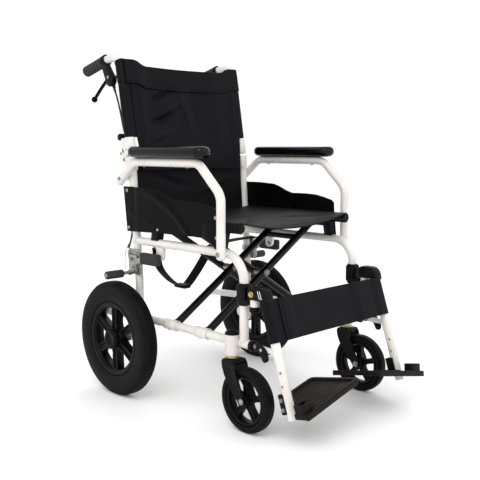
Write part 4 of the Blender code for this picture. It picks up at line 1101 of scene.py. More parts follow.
def rear_wheel(side: Side) -> None:
    """Twelve-inch wheel with six spokes and its domed hub cap."""
    body = f"rear_wheel_{side.tag}"
    ring = [(-0.0165, 0.0992), (-0.0180, 0.0960), (-0.0172, 0.0900), (-0.0130, 0.0855),
            (-0.0060, 0.0838), (0.0060, 0.0838), (0.0130, 0.0855), (0.0172, 0.0900),
            (0.0180, 0.0960), (0.0165, 0.0992)]
    tread = [(-0.0150, 0.1000), (-0.0190, 0.1030), (-0.0205, 0.1100), (-0.0214, 0.1220),
             (-0.0212, 0.1330), (-0.0200, 0.1420), (-0.0165, 0.1505), (-0.0110, 0.1543),
             (-0.0068, 0.1549), (-0.0058, 0.1532), (-0.0034, 0.1532), (-0.0024, 0.1549),
             (0.0024, 0.1549), (0.0034, 0.1532), (0.0058, 0.1532), (0.0068, 0.1549),
             (0.0110, 0.1543), (0.0165, 0.1505), (0.0200, 0.1420), (0.0212, 0.1330),
             (0.0214, 0.1220), (0.0205, 0.1100), (0.0190, 0.1030), (0.0150, 0.1000)]
    hub = [(-0.0200, 0.0068), (-0.0200, 0.0190), (-0.0160, 0.0262), (0.0160, 0.0262),
           (0.0200, 0.0190), (0.0200, 0.0068)]
    Wheel(side, "rear", body, ring, tread, hub, 6, (0.022, 0.0865), (0.0160, 0.0105), 0.0115,
          72).build()
    middle = node_middle(f"rear_tyre_{side.tag}")
    cap = [(0.0170, 0.0), (0.0170, 0.0275), (0.0215, 0.0285), (0.0240, 0.0272), (0.0262, 0.0235),
           (0.0262, 0.0150), (0.0250, 0.0125), (0.0250, 0.0)]
    outer = turned(f"hub_cap_{side.tag}", cap, middle, side.out(), 56)
    ROLL.settle(outer, body, PANEL)


def caster(side: Side) -> None:
    """Six-inch caster: five-spoke wheel, moulded fork and the axle bolt's heads."""
    ring = [(-0.0110, 0.0596), (-0.0128, 0.0580), (-0.0122, 0.0530), (-0.0070, 0.0500),
            (0.0070, 0.0500), (0.0122, 0.0530), (0.0128, 0.0580), (0.0110, 0.0596)]
    tread = [(-0.0108, 0.0602), (-0.0140, 0.0622), (-0.0149, 0.0655), (-0.0146, 0.0702),
             (-0.0126, 0.0748), (-0.0090, 0.0772), (-0.0048, 0.0779), (0.0048, 0.0779),
             (0.0090, 0.0772), (0.0126, 0.0748), (0.0146, 0.0702), (0.0149, 0.0655),
             (0.0140, 0.0622), (0.0108, 0.0602)]
    hub = [(-0.0165, 0.0050), (-0.0165, 0.0110), (-0.0150, 0.0142), (0.0150, 0.0142),
           (0.0165, 0.0110), (0.0165, 0.0050)]
    Wheel(side, "caster", f"caster_wheel_{side.tag}", ring, tread, hub, 5, (0.010, 0.0525),
          (0.0098, 0.0066), 0.0085, 48).build()
    fork(side)


def fork(side: Side) -> None:
    """Crown with a rounded skirt, two tapering blades and the stem's collar."""
    x, swivel_y, axle_y, axle_z = 0.2207, -0.396, -0.447, 0.078
    outline = arc((axle_y, axle_z), 0.0120, 195.0, 350.0, 14)
    outline += [(swivel_y + 0.0040, 0.128), (swivel_y + 0.0128, 0.148), (swivel_y + 0.0150, 0.162),
                (swivel_y + 0.0120, 0.1690), (swivel_y - 0.0215, 0.1690),
                (swivel_y - 0.0285, 0.1600), (swivel_y - 0.0330, 0.140)]
    parts = []
    for inner in (0.0176, -0.0222):
        blade = slab("fork_blade", outline, side_plane(side), (x + inner, x + inner + 0.0046), 0.0)
        select_faces(blade, lambda f: abs(f.normal.x) > 0.99)
        bpy.ops.mesh.inset(thickness=0.0042, depth=0.0, use_individual=True)
        bpy.ops.mesh.inset(thickness=0.0008, depth=-0.0009, use_individual=True)
        close_edit()
        round_edges(blade, 0.0007, 2, 40.0)
        parts.append(blade)
        parts.append(rod("blade_boss", side.at(x + inner - 0.0004, axle_y, axle_z),
                         side.at(x + inner + 0.0052, axle_y, axle_z), 0.0102, 0.001, 32))
    parts.append(block("fork_crown", side.at(x - 0.0222, swivel_y - 0.0240, 0.1560),
                       side.at(x + 0.0222, swivel_y + 0.0150, 0.1700), 0.0050, 4))
    collar = [(0.0, 0.0), (0.0, 0.0170), (0.0010, 0.0172), (0.0026, 0.0150), (0.0030, 0.0)]
    parts.append(turned("fork_collar", collar, side.at(x, swivel_y, 0.1685), UP, 40))
    ROLL.settle(join(f"fork_{side.tag}", parts), f"caster_fork_{side.tag}", NYLON,
                [f"caster_fork_{side.tag}"])
    heads = [bolt("fork_bolt", side.at(x + 0.0226, axle_y, axle_z), side.out(), 0.0058, 0.0030),
             bolt("fork_nut", side.at(x - 0.0226, axle_y, axle_z), -side.out(), 0.0062, 0.0040,
                  Head.HEX),
             rod("fork_axle", side.at(x - 0.0226, axle_y, axle_z),
                 side.at(x + 0.0226, axle_y, axle_z), 0.0040)]
    ROLL.settle(join(f"fork_axle_{side.tag}", heads), f"caster_fork_{side.tag}", ZINC)


# ---------------------------------------------------------------- footrests


@dataclass
class Footrest:
    """Swing-away hanger with its latch, clamp and tray-shaped footplate."""

    side: Side
    x: float = 0.2123
    pivot_y: float = -0.462
    top_z: float = 0.335
    knee_y: float = -0.4905
    foot: tuple[float, float] = (-0.580, 0.065)
    hinge: tuple[float, float, float] = (0.188, -0.572, 0.083)
    tilt: float = math.radians(12.0)

    def build(self) -> None:
        """Build the footrest's pieces."""
        self.hanger()
        self.latch()
        self.clamp()
        self.plate()

    def lean(self) -> Vector:
        """Unit vector down the hanger's long leg."""
        return Vector((0.0, self.foot[0] - self.knee_y, self.foot[1] - self.top_z)).normalized()

    def hanger(self) -> None:
        """Bent tube with its height holes, foot plug and the lug for the frame's pin."""
        side, lean = self.side, self.lean()
        corners = [side.at(self.x, self.pivot_y, 0.2900), side.at(self.x, self.pivot_y, self.top_z),
                   side.at(self.x, self.knee_y, self.top_z), side.at(self.x, *self.foot)]
        bar = tube(f"hanger_{side.tag}", round_corners(corners, 0.0138, 12), 0.011, 28)
        for y, z in ((-0.551, 0.165), (-0.558, 0.135)):
            hole = rod("height_hole", side.at(self.x - 0.020, y, z), side.at(self.x + 0.020, y, z),
                       0.0034, 0.0001, 20)
            apply_modifier(bar, "BOOLEAN", object=hole, operation="DIFFERENCE", solver="EXACT")
            bpy.data.objects.remove(hole)
        lug = block("hanger_lug", side.at(0.2075, -0.535, 0.2010),
                    side.at(0.2170, -0.4775, 0.2130), 0.0015)
        ROLL.settle(join(bar.name, [bar, lug]), f"hanger_{side.tag}", POWDER_COAT,
                    [f"hanger_tube_{side.tag}"])
        foot = side.at(self.x, *self.foot)
        plug = rod(f"hanger_plug_{side.tag}", foot - lean * 0.001, foot + lean * 0.004, 0.0114,
                   0.0015, 32)
        ROLL.settle(plug, f"hanger_{side.tag}", POWDER_COAT)
        outline = [(-0.4492, 0.3185), (-0.4492, 0.3420), (-0.4530, 0.3480), (-0.4600, 0.3505),
                   (-0.4850, 0.3505), (-0.4950, 0.3480), (-0.5030, 0.3410), (-0.5075, 0.3310),
                   (-0.5095, 0.3200), (-0.5080, 0.3165), (-0.4900, 0.3165), (-0.4850, 0.3190)]
        cover = slab("elbow_cover", outline, side_plane(side), (self.x - 0.0134,
                                                               self.x + 0.0134), 0.0034, 4)
        sleeve = rod("pivot_sleeve", side.at(self.x, self.pivot_y, 0.2900),
                     side.at(self.x, self.pivot_y, 0.3020), 0.0128, 0.001, 32)
        ROLL.settle(join(f"hanger_pivot_{side.tag}", [sleeve, cover]), f"hanger_{side.tag}", NYLON)
        slots = [slab("elbow_slot", link((-0.4890 - step, 0.3250), (-0.4830 - step, 0.3420),
                                         0.0011, 0.0011, 6),
                      side_plane(side), (self.x + 0.0120, self.x + 0.0137), 0.0003)
                 for step in (0.0, 0.0060)]
        ROLL.settle(join(f"elbow_slots_{side.tag}", slots), f"hanger_{side.tag}", POWDER_COAT)
        gold = bolt(f"pivot_bolt_{side.tag}", side.at(self.x + 0.0132, -0.4620, 0.3320), side.out(),
                    0.0056, 0.0030, Head.HEX)
        ROLL.settle(gold, f"hanger_{side.tag}", BRASSED)

    def latch(self) -> None:
        """Curved latch lever with a swollen thumb end, and its pivot screw."""
        side = self.side
        outline = [(-0.4745, 0.2185), (-0.4840, 0.2190), (-0.4940, 0.2170), (-0.5030, 0.2110),
                   (-0.5090, 0.2030), (-0.5125, 0.1930), (-0.5118, 0.1845), (-0.5060, 0.1795),
                   (-0.4985, 0.1800), (-0.4945, 0.1860), (-0.4900, 0.1950), (-0.4830, 0.1990),
                   (-0.4770, 0.2015), (-0.4745, 0.2070)]
        lever = slab(f"latch_{side.tag}", outline, side_plane(side), (0.2174, 0.2244), 0.0022, 4)
        thumb = rod("latch_thumb", side.at(0.2150, -0.5040, 0.1870),
                    side.at(0.2272, -0.5040, 0.1870), 0.0068, 0.0024, 28)
        ROLL.settle(join(lever.name, [lever, thumb]), f"latch_lever_{side.tag}", NYLON,
                    [f"latch_lever_{side.tag}"])
        screw = bolt(f"latch_screw_{side.tag}", side.at(0.2242, -0.4920, 0.2070), side.out(),
                     0.0034, 0.0018)
        ROLL.settle(screw, f"latch_lever_{side.tag}", ZINC)

    def clamp(self) -> None:
        """Clamp behind the foot of the hanger, with the ear that holds the hinge pin."""
        side, lean = self.side, self.lean()
        middle = side.at(self.x, *self.foot) - lean * 0.034
        back = lean.cross(Vector((1.0, 0.0, 0.0))).normalized()
        if back.y < 0.0:
            back = -back
        out = side.out()

        def place(u: float, v: float, w: float) -> Vector:
            return middle + out * u + back * v - lean * w
        outline = [(0.0100, -0.0020), (0.0112, 0.0040), (0.0112, 0.0160), (0.0080, 0.0215),
                   (-0.0110, 0.0225), (-0.0150, 0.0180), (-0.0150, -0.0020)]
        body = slab(f"foot_clamp_{side.tag}", outline, place, (-0.0230, 0.0230), 0.0016, 3)
        where = self.plane()
        ear = rod("clamp_ear", where(0.0, -0.0104, 0.0), where(0.0, 0.0104, 0.0), 0.0075,
                  0.0008, 32)
        web = slab("clamp_web", [(-0.0150, -0.0100), (0.0010, -0.0100), (0.0010, 0.0100),
                                 (-0.0150, 0.0100)], where, (-0.0060, 0.0060), 0.001)
        ROLL.settle(join(body.name, [body, ear, web]), f"hanger_{side.tag}", NYLON,
                    [f"footplate_clamp_{side.tag}"])
        pin = rod("hinge_pin", where(0.0, -0.0250, 0.0), where(0.0, 0.0250, 0.0), 0.0040)
        heads = [pin, bolt("clamp_screw", place(0.0108, 0.0120, 0.010), out, 0.0038, 0.0030,
                           Head.CAP),
                 bolt("clamp_screw", place(0.0108, 0.0120, -0.012), out, 0.0038, 0.0030,
                      Head.CAP)]
        ROLL.settle(join(f"clamp_screws_{side.tag}", heads), f"hanger_{side.tag}", ZINC)

    def plane(self) -> Callable[[float, float, float], Vector]:
        """Map (inward, forward, up) from the footplate's hinge to the frame."""
        forward = Vector((0.0, -math.cos(self.tilt), math.sin(self.tilt)))
        inward = Vector((-math.cos(self.tilt), math.sin(self.tilt) ** 2,
                         math.sin(self.tilt) * math.cos(self.tilt)))
        normal = forward.cross(inward)
        normal = normal if normal.z > 0.0 else -normal
        hinge, side = Vector(self.hinge), self.side

        def place(u: float, v: float, w: float) -> Vector:
            point = hinge + inward * u + forward * v + normal * w
            return side.at(point.x, point.y, point.z)
        return place

    def plate(self) -> None:
        """Tray with a sunk ribbed floor, a toe wall, a heel block and hinge knuckles."""
        where, tag = self.plane(), self.side.tag
        outline = ([(0.012, -0.030), (0.030, -0.052)] + arc((0.074, -0.066), 0.012, 236.0, 270.0, 4)
                   + arc((0.1415, -0.066), 0.012, 270.0, 360.0, 8)
                   + arc((0.1415, 0.058), 0.012, 0.0, 90.0, 8)
                   + arc((-0.034, 0.059), 0.011, 90.0, 180.0, 8)
                   + [(-0.045, 0.030), (-0.012, 0.030), (0.012, 0.0265)])
        tray = slab(f"foot_tray_{tag}", outline, where, (-0.0070, 0.0055), 0.0)
        up = (where(0.0, 0.0, 1.0) - where(0.0, 0.0, 0.0)).normalized()
        select_faces(tray, lambda f: f.normal.dot(up) > 0.99)
        bpy.ops.mesh.inset(thickness=0.0085, depth=0.0)
        bpy.ops.mesh.inset(thickness=0.0015, depth=-0.0050)
        close_edit()
        round_edges(tray, 0.0011, 3, 40.0)
        parts = [tray]
        for row in range(7):
            v = -0.054 + row * 0.0165
            left = 0.040 if v < -0.030 else 0.026
            left = 0.004 if v > 0.040 else left
            parts.append(slab("tray_rib", link((left, v), (0.140, v), 0.0021, 0.0021, 6), where,
                              (-0.0002, 0.0009), 0.0003))
        parts.append(slab("toe_wall", [(-0.044, 0.0610), (0.1400, 0.0610), (0.1400, 0.0692),
                                       (-0.044, 0.0692)], where, (-0.0088, 0.0048), 0.0014, 3))
        heel = (arc((-0.038, 0.037), 0.006, 180.0, 270.0, 6) + arc((-0.014, 0.037), 0.006, 270.0,
                                                                  360.0, 6)
                + arc((-0.014, 0.054), 0.006, 0.0, 90.0, 6) + arc((-0.038, 0.054), 0.006, 90.0,
                                                                  180.0, 6))
        box = slab("heel_block", heel, where, (0.0, 0.0240), 0.0)
        select_faces(box, lambda f: f.normal.dot(up) > 0.99)
        bpy.ops.mesh.inset(thickness=0.0060, depth=0.0)
        bpy.ops.mesh.inset(thickness=0.0004, depth=-0.0080)
        close_edit()
        round_edges(box, 0.0016, 3, 40.0)
        parts.append(box)
        for low, high in ((0.0110, 0.0240), (-0.0240, -0.0110)):
            parts.append(slab("knuckle_web", [(0.0045, low), (0.020, low), (0.020, high),
                                              (0.0045, high)], where, (-0.0055, 0.0010), 0.0008))
            parts.append(rod("knuckle", where(0.0, low, 0.0), where(0.0, high, 0.0), 0.0075,
                             0.0008, 32))
        ROLL.settle(join(f"foot_tray_{tag}", parts), f"footplate_{tag}", TREADPLATE,
                    [f"footplate_{tag}"])


# ---------------------------------------------------------------- crossbars


@dataclass
class Crossbars:
    """The two scissor assemblies with their sleeves, seat tubes and pivot bolts."""

    frame_x: float = 0.2086
    rail_z: float = 0.207
    seat_x: float = 0.200
    seat_z: float = 0.477
    lift: float = 0.012
    shortfall: float = 0.012
    stations: tuple[float, float] = (-0.169, -0.289)
    step: float = 0.042

    def angle(self) -> float:
        """Slope of the bars."""
        width, rise = self.frame_x + self.seat_x, self.seat_z - self.rail_z
        return math.atan2(rise, width) - math.asin(self.lift / math.hypot(width, rise))

    def run(self) -> float:
        """Length of a bar's axis up to the seat tube's middle."""
        width, rise = self.frame_x + self.seat_x, self.seat_z - self.rail_z
        return math.sqrt(width ** 2 + rise ** 2 - self.lift ** 2)

    def on_bar(self, foot: Side, y: float, run: float) -> Vector:
        """Point on a bar's axis at a distance from the lower rail."""
        slope = self.angle()
        return foot.at(self.frame_x - run * math.cos(slope), y,
                       self.rail_z + run * math.sin(slope))

    def build(self) -> None:
        """Both assemblies, then the bolts and the rear tie."""
        self.assembly("scissor_a", Side.RIGHT, Side.LEFT, 0.0)
        self.assembly("scissor_b", Side.LEFT, Side.RIGHT, self.step)
        self.pivots()

    def assembly(self, body: str, foot: Side, top: Side, offset: float) -> None:
        """Two bars, their sleeves on the lower rail and the seat tube above the other side."""
        parts = [tube(f"{body}_seat_tube", [top.at(self.seat_x, -0.4035, self.seat_z),
                                            top.at(self.seat_x, -0.0375, self.seat_z)], 0.011, 32)]
        sleeves: list[bpy.types.Object] = []
        for base in self.stations:
            y = base + offset
            foot_end, head_end = self.on_bar(foot, y, 0.0125), self.on_bar(
                foot, y, self.run() - self.shortfall)
            parts.append(rod(f"{body}_bar", foot_end, head_end, 0.010, 0.0015, 32))
            parts.append(rod(f"{body}_neck", self.on_bar(foot, y, self.run() - 0.020),
                             top.at(self.seat_x, y, self.seat_z), 0.0070, 0.0005, 24))
            sleeve = [(0.0, 0.0118), (0.0, 0.0134), (0.0010, 0.0140), (0.0450, 0.0140),
                      (0.0460, 0.0134), (0.0460, 0.0118)]
            sleeves.append(turned(f"{body}_sleeve", sleeve, foot.at(self.frame_x, y - 0.012,
                                                                   self.rail_z), REARWARD, 36,
                                  True))
            sleeves.append(bolt("sleeve_screw", foot.at(self.frame_x, y + 0.022,
                                                        self.rail_z - 0.0138), -UP, 0.0036,
                                0.0024))
            along = (head_end - foot_end).normalized()
            parts.append(weld_bead(f"{body}_weld", foot.at(self.frame_x, y, self.rail_z), along,
                                   REARWARD, 0.0100, 0.0138))
        if body == "scissor_a":
            tie = self.on_bar(foot, 0.0, self.run() * 0.82)
            ends = [Vector((tie.x, AXLE.y + y, tie.z)) for y in self.stations]
            parts.append(rod("scissor_tie", ends[0], ends[1], 0.0075, 0.0005, 24))
        ROLL.settle(join(f"{body}_bars", parts), body, BLACK_COAT, [body])
        ROLL.settle(join(f"{body}_sleeves", sleeves), body, POWDER_COAT)
        plugs = []
        for y in (-0.4070, -0.0340):
            inward = 0.0045 if y < -0.2 else -0.0045
            plugs.append(rod("seat_plug", top.at(self.seat_x, y, self.seat_z),
                             top.at(self.seat_x, y + inward, self.seat_z), 0.0118, 0.0015, 32))
        ROLL.settle(join(f"{body}_plugs", plugs), body, NYLON)

    def pivots(self) -> None:
        """Bolt, spacer and nut where each pair of bars crosses."""
        height = self.rail_z + self.frame_x * math.tan(self.angle())
        parts = []
        for base in self.stations:
            middle = Vector((0.0, AXLE.y + base, height))
            parts.append(bolt("cross_bolt", middle + FORWARD * 0.0098, FORWARD, 0.0070, 0.0048,
                              Head.HEX))
            parts.append(rod("cross_spacer", middle + REARWARD * 0.0095,
                             middle + REARWARD * (self.step - 0.0103), 0.0080, 0.0006, 28))
            parts.append(bolt("cross_nut", middle + REARWARD * (self.step + 0.0100), REARWARD,
                              0.0070, 0.0045, Head.HEX))
        ROLL.settle(join("cross_bolts", parts), "scissor_a", ZINC)

# ---------------------------------------------------------------- folding back


@dataclass
class Handle:
    """Back cane with its push grip, hand brake, hinge release and brake cable."""

    side: Side
    x: float = 0.2086
    lever_x: float = 0.1961
    foot: tuple[float, float] = (0.0060, 0.6465)
    corner: tuple[float, float] = (0.0500, 0.9100)
    knee: tuple[float, float] = (0.1050, 0.9060)
    end: tuple[float, float] = (0.2120, 0.8790)

    @property
    def body(self) -> str:
        """The body that folds down."""
        return f"back_{self.side.tag}"

    def at(self, y: float, z: float) -> Vector:
        """Point on this side's cane plane."""
        return self.side.at(self.x, y, z)

    def path(self) -> list[Vector]:
        """Centre line of the cane and its handle."""
        return round_corners([self.at(*self.foot), self.at(*self.corner), self.at(*self.knee),
                              self.at(self.end[0] - 0.012, self.end[1] + 0.003)], 0.032, 12)

    def build(self) -> None:
        """Build the handle's pieces."""
        self.cane()
        self.grip()
        self.hand_brake()
        self.release()
        self.cable()

    def cane(self) -> None:
        """Cane with the cast moving half of the hinge at its foot."""
        side, x = self.side, self.x
        bar = tube(f"cane_{side.tag}", self.path(), 0.011, 28)
        outline = arc((0.028, 0.634), 0.0078, 180.0, 330.0, 12)
        outline += [(0.0358, 0.650), (0.0300, 0.6590), (0.0215, 0.6640), (0.0110, 0.6680),
                    (0.0040, 0.6640), (0.0040, 0.6480), (0.0202, 0.6440)]
        tongue = slab("hinge_tongue", outline, side_plane(side), (x - 0.0041, x + 0.0041), 0.0008)
        arm = slab("release_arm", link((0.0300, 0.6400), (0.0480, 0.6500), 0.0060, 0.0050),
                   side_plane(side), (x - 0.0036, x + 0.0036), 0.0008)
        lean = (self.at(*self.corner) - self.at(*self.foot)).normalized()
        cup = [(0.0, 0.0105), (0.0, 0.0140), (0.0015, 0.0150), (0.0425, 0.0150),
               (0.0450, 0.0136), (0.0450, 0.0105)]
        collar = turned("cane_collar", cup, self.at(*self.foot) + lean * 0.0015, lean, 36, True)
        head = link((0.0150, 0.6640), (0.0280, 0.6800), 0.0130, 0.0115, 12)
        casting = slab("hinge_casting", head, side_plane(side), (x - 0.0036, x + 0.0128), 0.0030, 4)
        ROLL.settle(join(bar.name, [bar, tongue, arm, collar, casting]), self.body, POWDER_COAT,
                    [f"back_cane_{side.tag}"])
        screw = bolt(f"collar_screw_{side.tag}", self.at(0.0085, 0.6600) + side.out() * 0.0139,
                     side.out(), 0.0026, 0.0010)
        ROLL.settle(screw, self.body, ZINC)

    def grip(self) -> None:
        """Rubber grip: ribbed barrel between a collar and a domed end."""
        start = self.at(*self.knee)
        heading = (self.at(*self.end) - start).normalized()
        length = (self.at(*self.end) - start).length
        profile = [(0.0245, 0.0113), (0.0245, 0.0146), (0.0255, 0.0152), (0.0290, 0.0152),
                   (0.0300, 0.0143)]
        place = 0.0330
        while place < length - 0.016:
            profile += [(place, 0.0143), (place + 0.0006, 0.0150), (place + 0.0030, 0.0150),
                        (place + 0.0036, 0.0143)]
            place += 0.0052
        profile += [(length - 0.011, 0.0143), (length - 0.010, 0.0152), (length - 0.004, 0.0150),
                    (length - 0.0015, 0.0130), (length - 0.0002, 0.0080), (length, 0.0)]
        grip = turned(f"grip_{self.side.tag}", profile, start, heading, 40)
        ROLL.settle(grip, self.body, GRIP, [f"push_grip_{self.side.tag}"], 30.0)

    def hand_brake(self) -> None:
        """Clamp band and perch with the lever's cheeks, then the curved lever."""
        side, x = self.side, self.x
        start = self.at(*self.knee)
        heading = (self.at(*self.end) - start).normalized()
        band = [(0.0, 0.0113), (0.0, 0.0150), (0.0015, 0.0160), (0.0180, 0.0160),
                (0.0195, 0.0150), (0.0195, 0.0113)]
        parts = [turned(f"brake_perch_{side.tag}", band, start + heading * 0.004, heading, 40,
                        True)]
        outline = link((0.0905, 0.8480), (0.1140, 0.8870), 0.0165, 0.0120, 14)
        parts.append(slab("perch", outline, side_plane(side), (x - 0.0070, x + 0.0086), 0.0030, 4))
        parts.append(slab("perch_ear", link((0.0960, 0.8570), (0.1000, 0.8680), 0.0078, 0.0068, 12),
                          side_plane(side), (x - 0.0074, x - 0.0050), 0.0008))
        barrel = side.at(x, 0.0815, 0.8340) - side.at(x, 0.0885, 0.8450)
        nose = side.at(x, 0.0850, 0.8395)
        parts.append(rod("cable_barrel", nose, nose + barrel.normalized() * 0.0140, 0.0048, 0.001))
        ROLL.settle(join(parts[0].name, parts), self.body, NYLON, [f"handbrake_body_{side.tag}"])
        corners = [side.at(self.lever_x, y, z) for y, z in ((0.0960, 0.8570), (0.1290, 0.8530),
                                                            (0.1560, 0.8330), (0.1880, 0.8060))]
        blade = tube("lever_blade", round_corners(corners, 0.030, 10), 0.0048, 20)
        deselect()
        bpy.ops.mesh.primitive_uv_sphere_add(segments=32, ring_count=20, radius=0.0085,
                                             location=side.at(self.lever_x, 0.1930, 0.8018))
        ball = bpy.context.object
        eye = rod("lever_eye", side.at(self.lever_x - 0.0050, 0.0960, 0.8570),
                  side.at(self.lever_x + 0.0038, 0.0960, 0.8570), 0.0074, 0.001, 28)
        lever = join(f"brake_lever_{side.tag}", [blade, ball, eye])
        ROLL.settle(lever, f"handbrake_lever_{side.tag}", PANEL, [f"handbrake_lever_{side.tag}"])
        pin = bolt(f"lever_pin_{side.tag}", side.at(x + 0.0085, 0.0960, 0.8570), side.out(),
                   0.0036, 0.0016)
        ROLL.settle(pin, self.body, ZINC)

    def release(self) -> None:
        """Release lever with its round knob and a pivot screw."""
        side, x = self.side, self.x
        lever = slab(f"release_{side.tag}", link((0.0480, 0.6500), (0.0545, 0.6890), 0.0052, 0.0036,
                                                12), side_plane(side), (x - 0.0085, x - 0.0045),
                     0.0008)
        profile = [(0.0, 0.0), (0.0, 0.0070), (0.0015, 0.0090), (0.0040, 0.0100), (0.0140, 0.0100),
                   (0.0165, 0.0090), (0.0180, 0.0070), (0.0180, 0.0)]
        knob = turned("release_knob", profile, side.at(x - 0.0140, 0.0560, 0.6940),
                      side.out(), 36)
        ROLL.settle(join(lever.name, [lever, knob]), f"release_lever_{side.tag}", NYLON,
                    [f"release_lever_{side.tag}"])
        screw = bolt(f"release_screw_{side.tag}", side.at(x + 0.0036, 0.0480, 0.6500),
                     side.out(), 0.0036, 0.0016)
        ROLL.settle(screw, self.body, ZINC)

    def cable(self) -> None:
        """Brake cable from the perch to the parking brake, routed past the back's hinge."""
        side = self.side
        places = ((0.2086, 0.0800, 0.8300), (0.2080, 0.0660, 0.7980), (0.2060, 0.0540, 0.7560),
                  (0.2035, 0.0440, 0.7120), (0.1935, 0.0360, 0.6740), (0.1895, 0.0260, 0.6400),
                  (0.1915, 0.0190, 0.6000), (0.1985, 0.0140, 0.5500), (0.2040, 0.0110, 0.5000),
                  (0.2075, 0.0085, 0.4500), (0.2135, 0.0070, 0.4180), (0.2250, 0.0050, 0.3960))
        route = smooth_path([side.at(*place) for place in places], 6)
        cable = tube(f"cable_{side.tag}", route, 0.0026, 16)
        tip = (route[1] - route[0]).normalized()
        tail = (route[-1] - route[-2]).normalized()
        relief = [(-0.004, 0.0026), (-0.004, 0.0042), (0.0100, 0.0036), (0.0160, 0.0028)]
        parts = [cable, turned("cable_boot", relief, route[0], tip, 20),
                 turned("cable_ferrule", [(-0.0100, 0.0026), (-0.0100, 0.0036), (0.0, 0.0036),
                                          (0.0, 0.0012)], route[-1], tail, 20)]
        hinge = self.at(0.028, 0.634)
        ROLL.bend(join(cable.name, parts),
                  hinge + UP * 0.10, hinge - UP * 0.10, CABLE_SKIN,
                  [f"brake_cable_{side.tag}"])


# ---------------------------------------------------------------- upholstery


def cloth(name: str, flat: tuple[float, float], cells: tuple[int, int],
          place: Callable[[float, float], Vector], wall: float = 0.0016) -> bpy.types.Object:
    """Lay a subdivided sheet over a surface, keeping its weave in metres.

    Args:
        name: Object name.
        flat: Width and length of the cut sheet.
        cells: Squares across and along it.
        place: Maps (0 to 1 across, 0 to 1 along) to the frame.
        wall: Thickness of the cloth.

    Returns:
        The sheet.
    """
    deselect()
    bpy.ops.mesh.primitive_grid_add(x_subdivisions=cells[0], y_subdivisions=cells[1], size=1.0,
                                    calc_uvs=True)
    sheet = bpy.context.object
    sheet.name = name
    sheet.data.uv_layers[0].name = "UVMap"
    for loop in sheet.data.uv_layers[0].data:
        loop.uv = (loop.uv[0] * flat[0], loop.uv[1] * flat[1])
    for vertex in sheet.data.vertices:
        vertex.co = place(vertex.co.x + 0.5, vertex.co.y + 0.5)
    apply_modifier(sheet, "SOLIDIFY", thickness=wall, offset=0.0)
    return sheet


def crease(u: float, v: float, start: Point, end: Point, wide: float, deep: float) -> float:
    """Depth of one soft fold that runs between two places on a sheet and fades at its ends."""
    run = (end[0] - start[0], end[1] - start[1])
    length = math.hypot(*run)
    along = ((u - start[0]) * run[0] + (v - start[1]) * run[1]) / length ** 2
    off = ((u - start[0]) * run[1] - (v - start[1]) * run[0]) / length
    fade = math.sin(math.pi * along) if 0.0 < along < 1.0 else 0.0
    return 2.6 * deep * fade * math.exp(-(off / wide) ** 2)


def slack_mask(u: float) -> float:
    """1 over a panel's middle and 0 where it lies on a sleeve, also with the chair folded."""
    across = 2.0 * u - 1.0
    edge = (0.60 - across) / 0.20 if across > 0.0 else (0.92 + across) / 0.20
    edge = min(max(edge, 0.0), 1.0)
    return edge * edge * (3.0 - 2.0 * edge)


def hem(name: str, line: Callable[[float], Vector], count: int, radius: float = 0.0011
        ) -> bpy.types.Object:
    """A sewn edge: a thin roll along a line given from 0 to 1."""
    return tube(name, [line(i / count) for i in range(count + 1)], radius, 8)


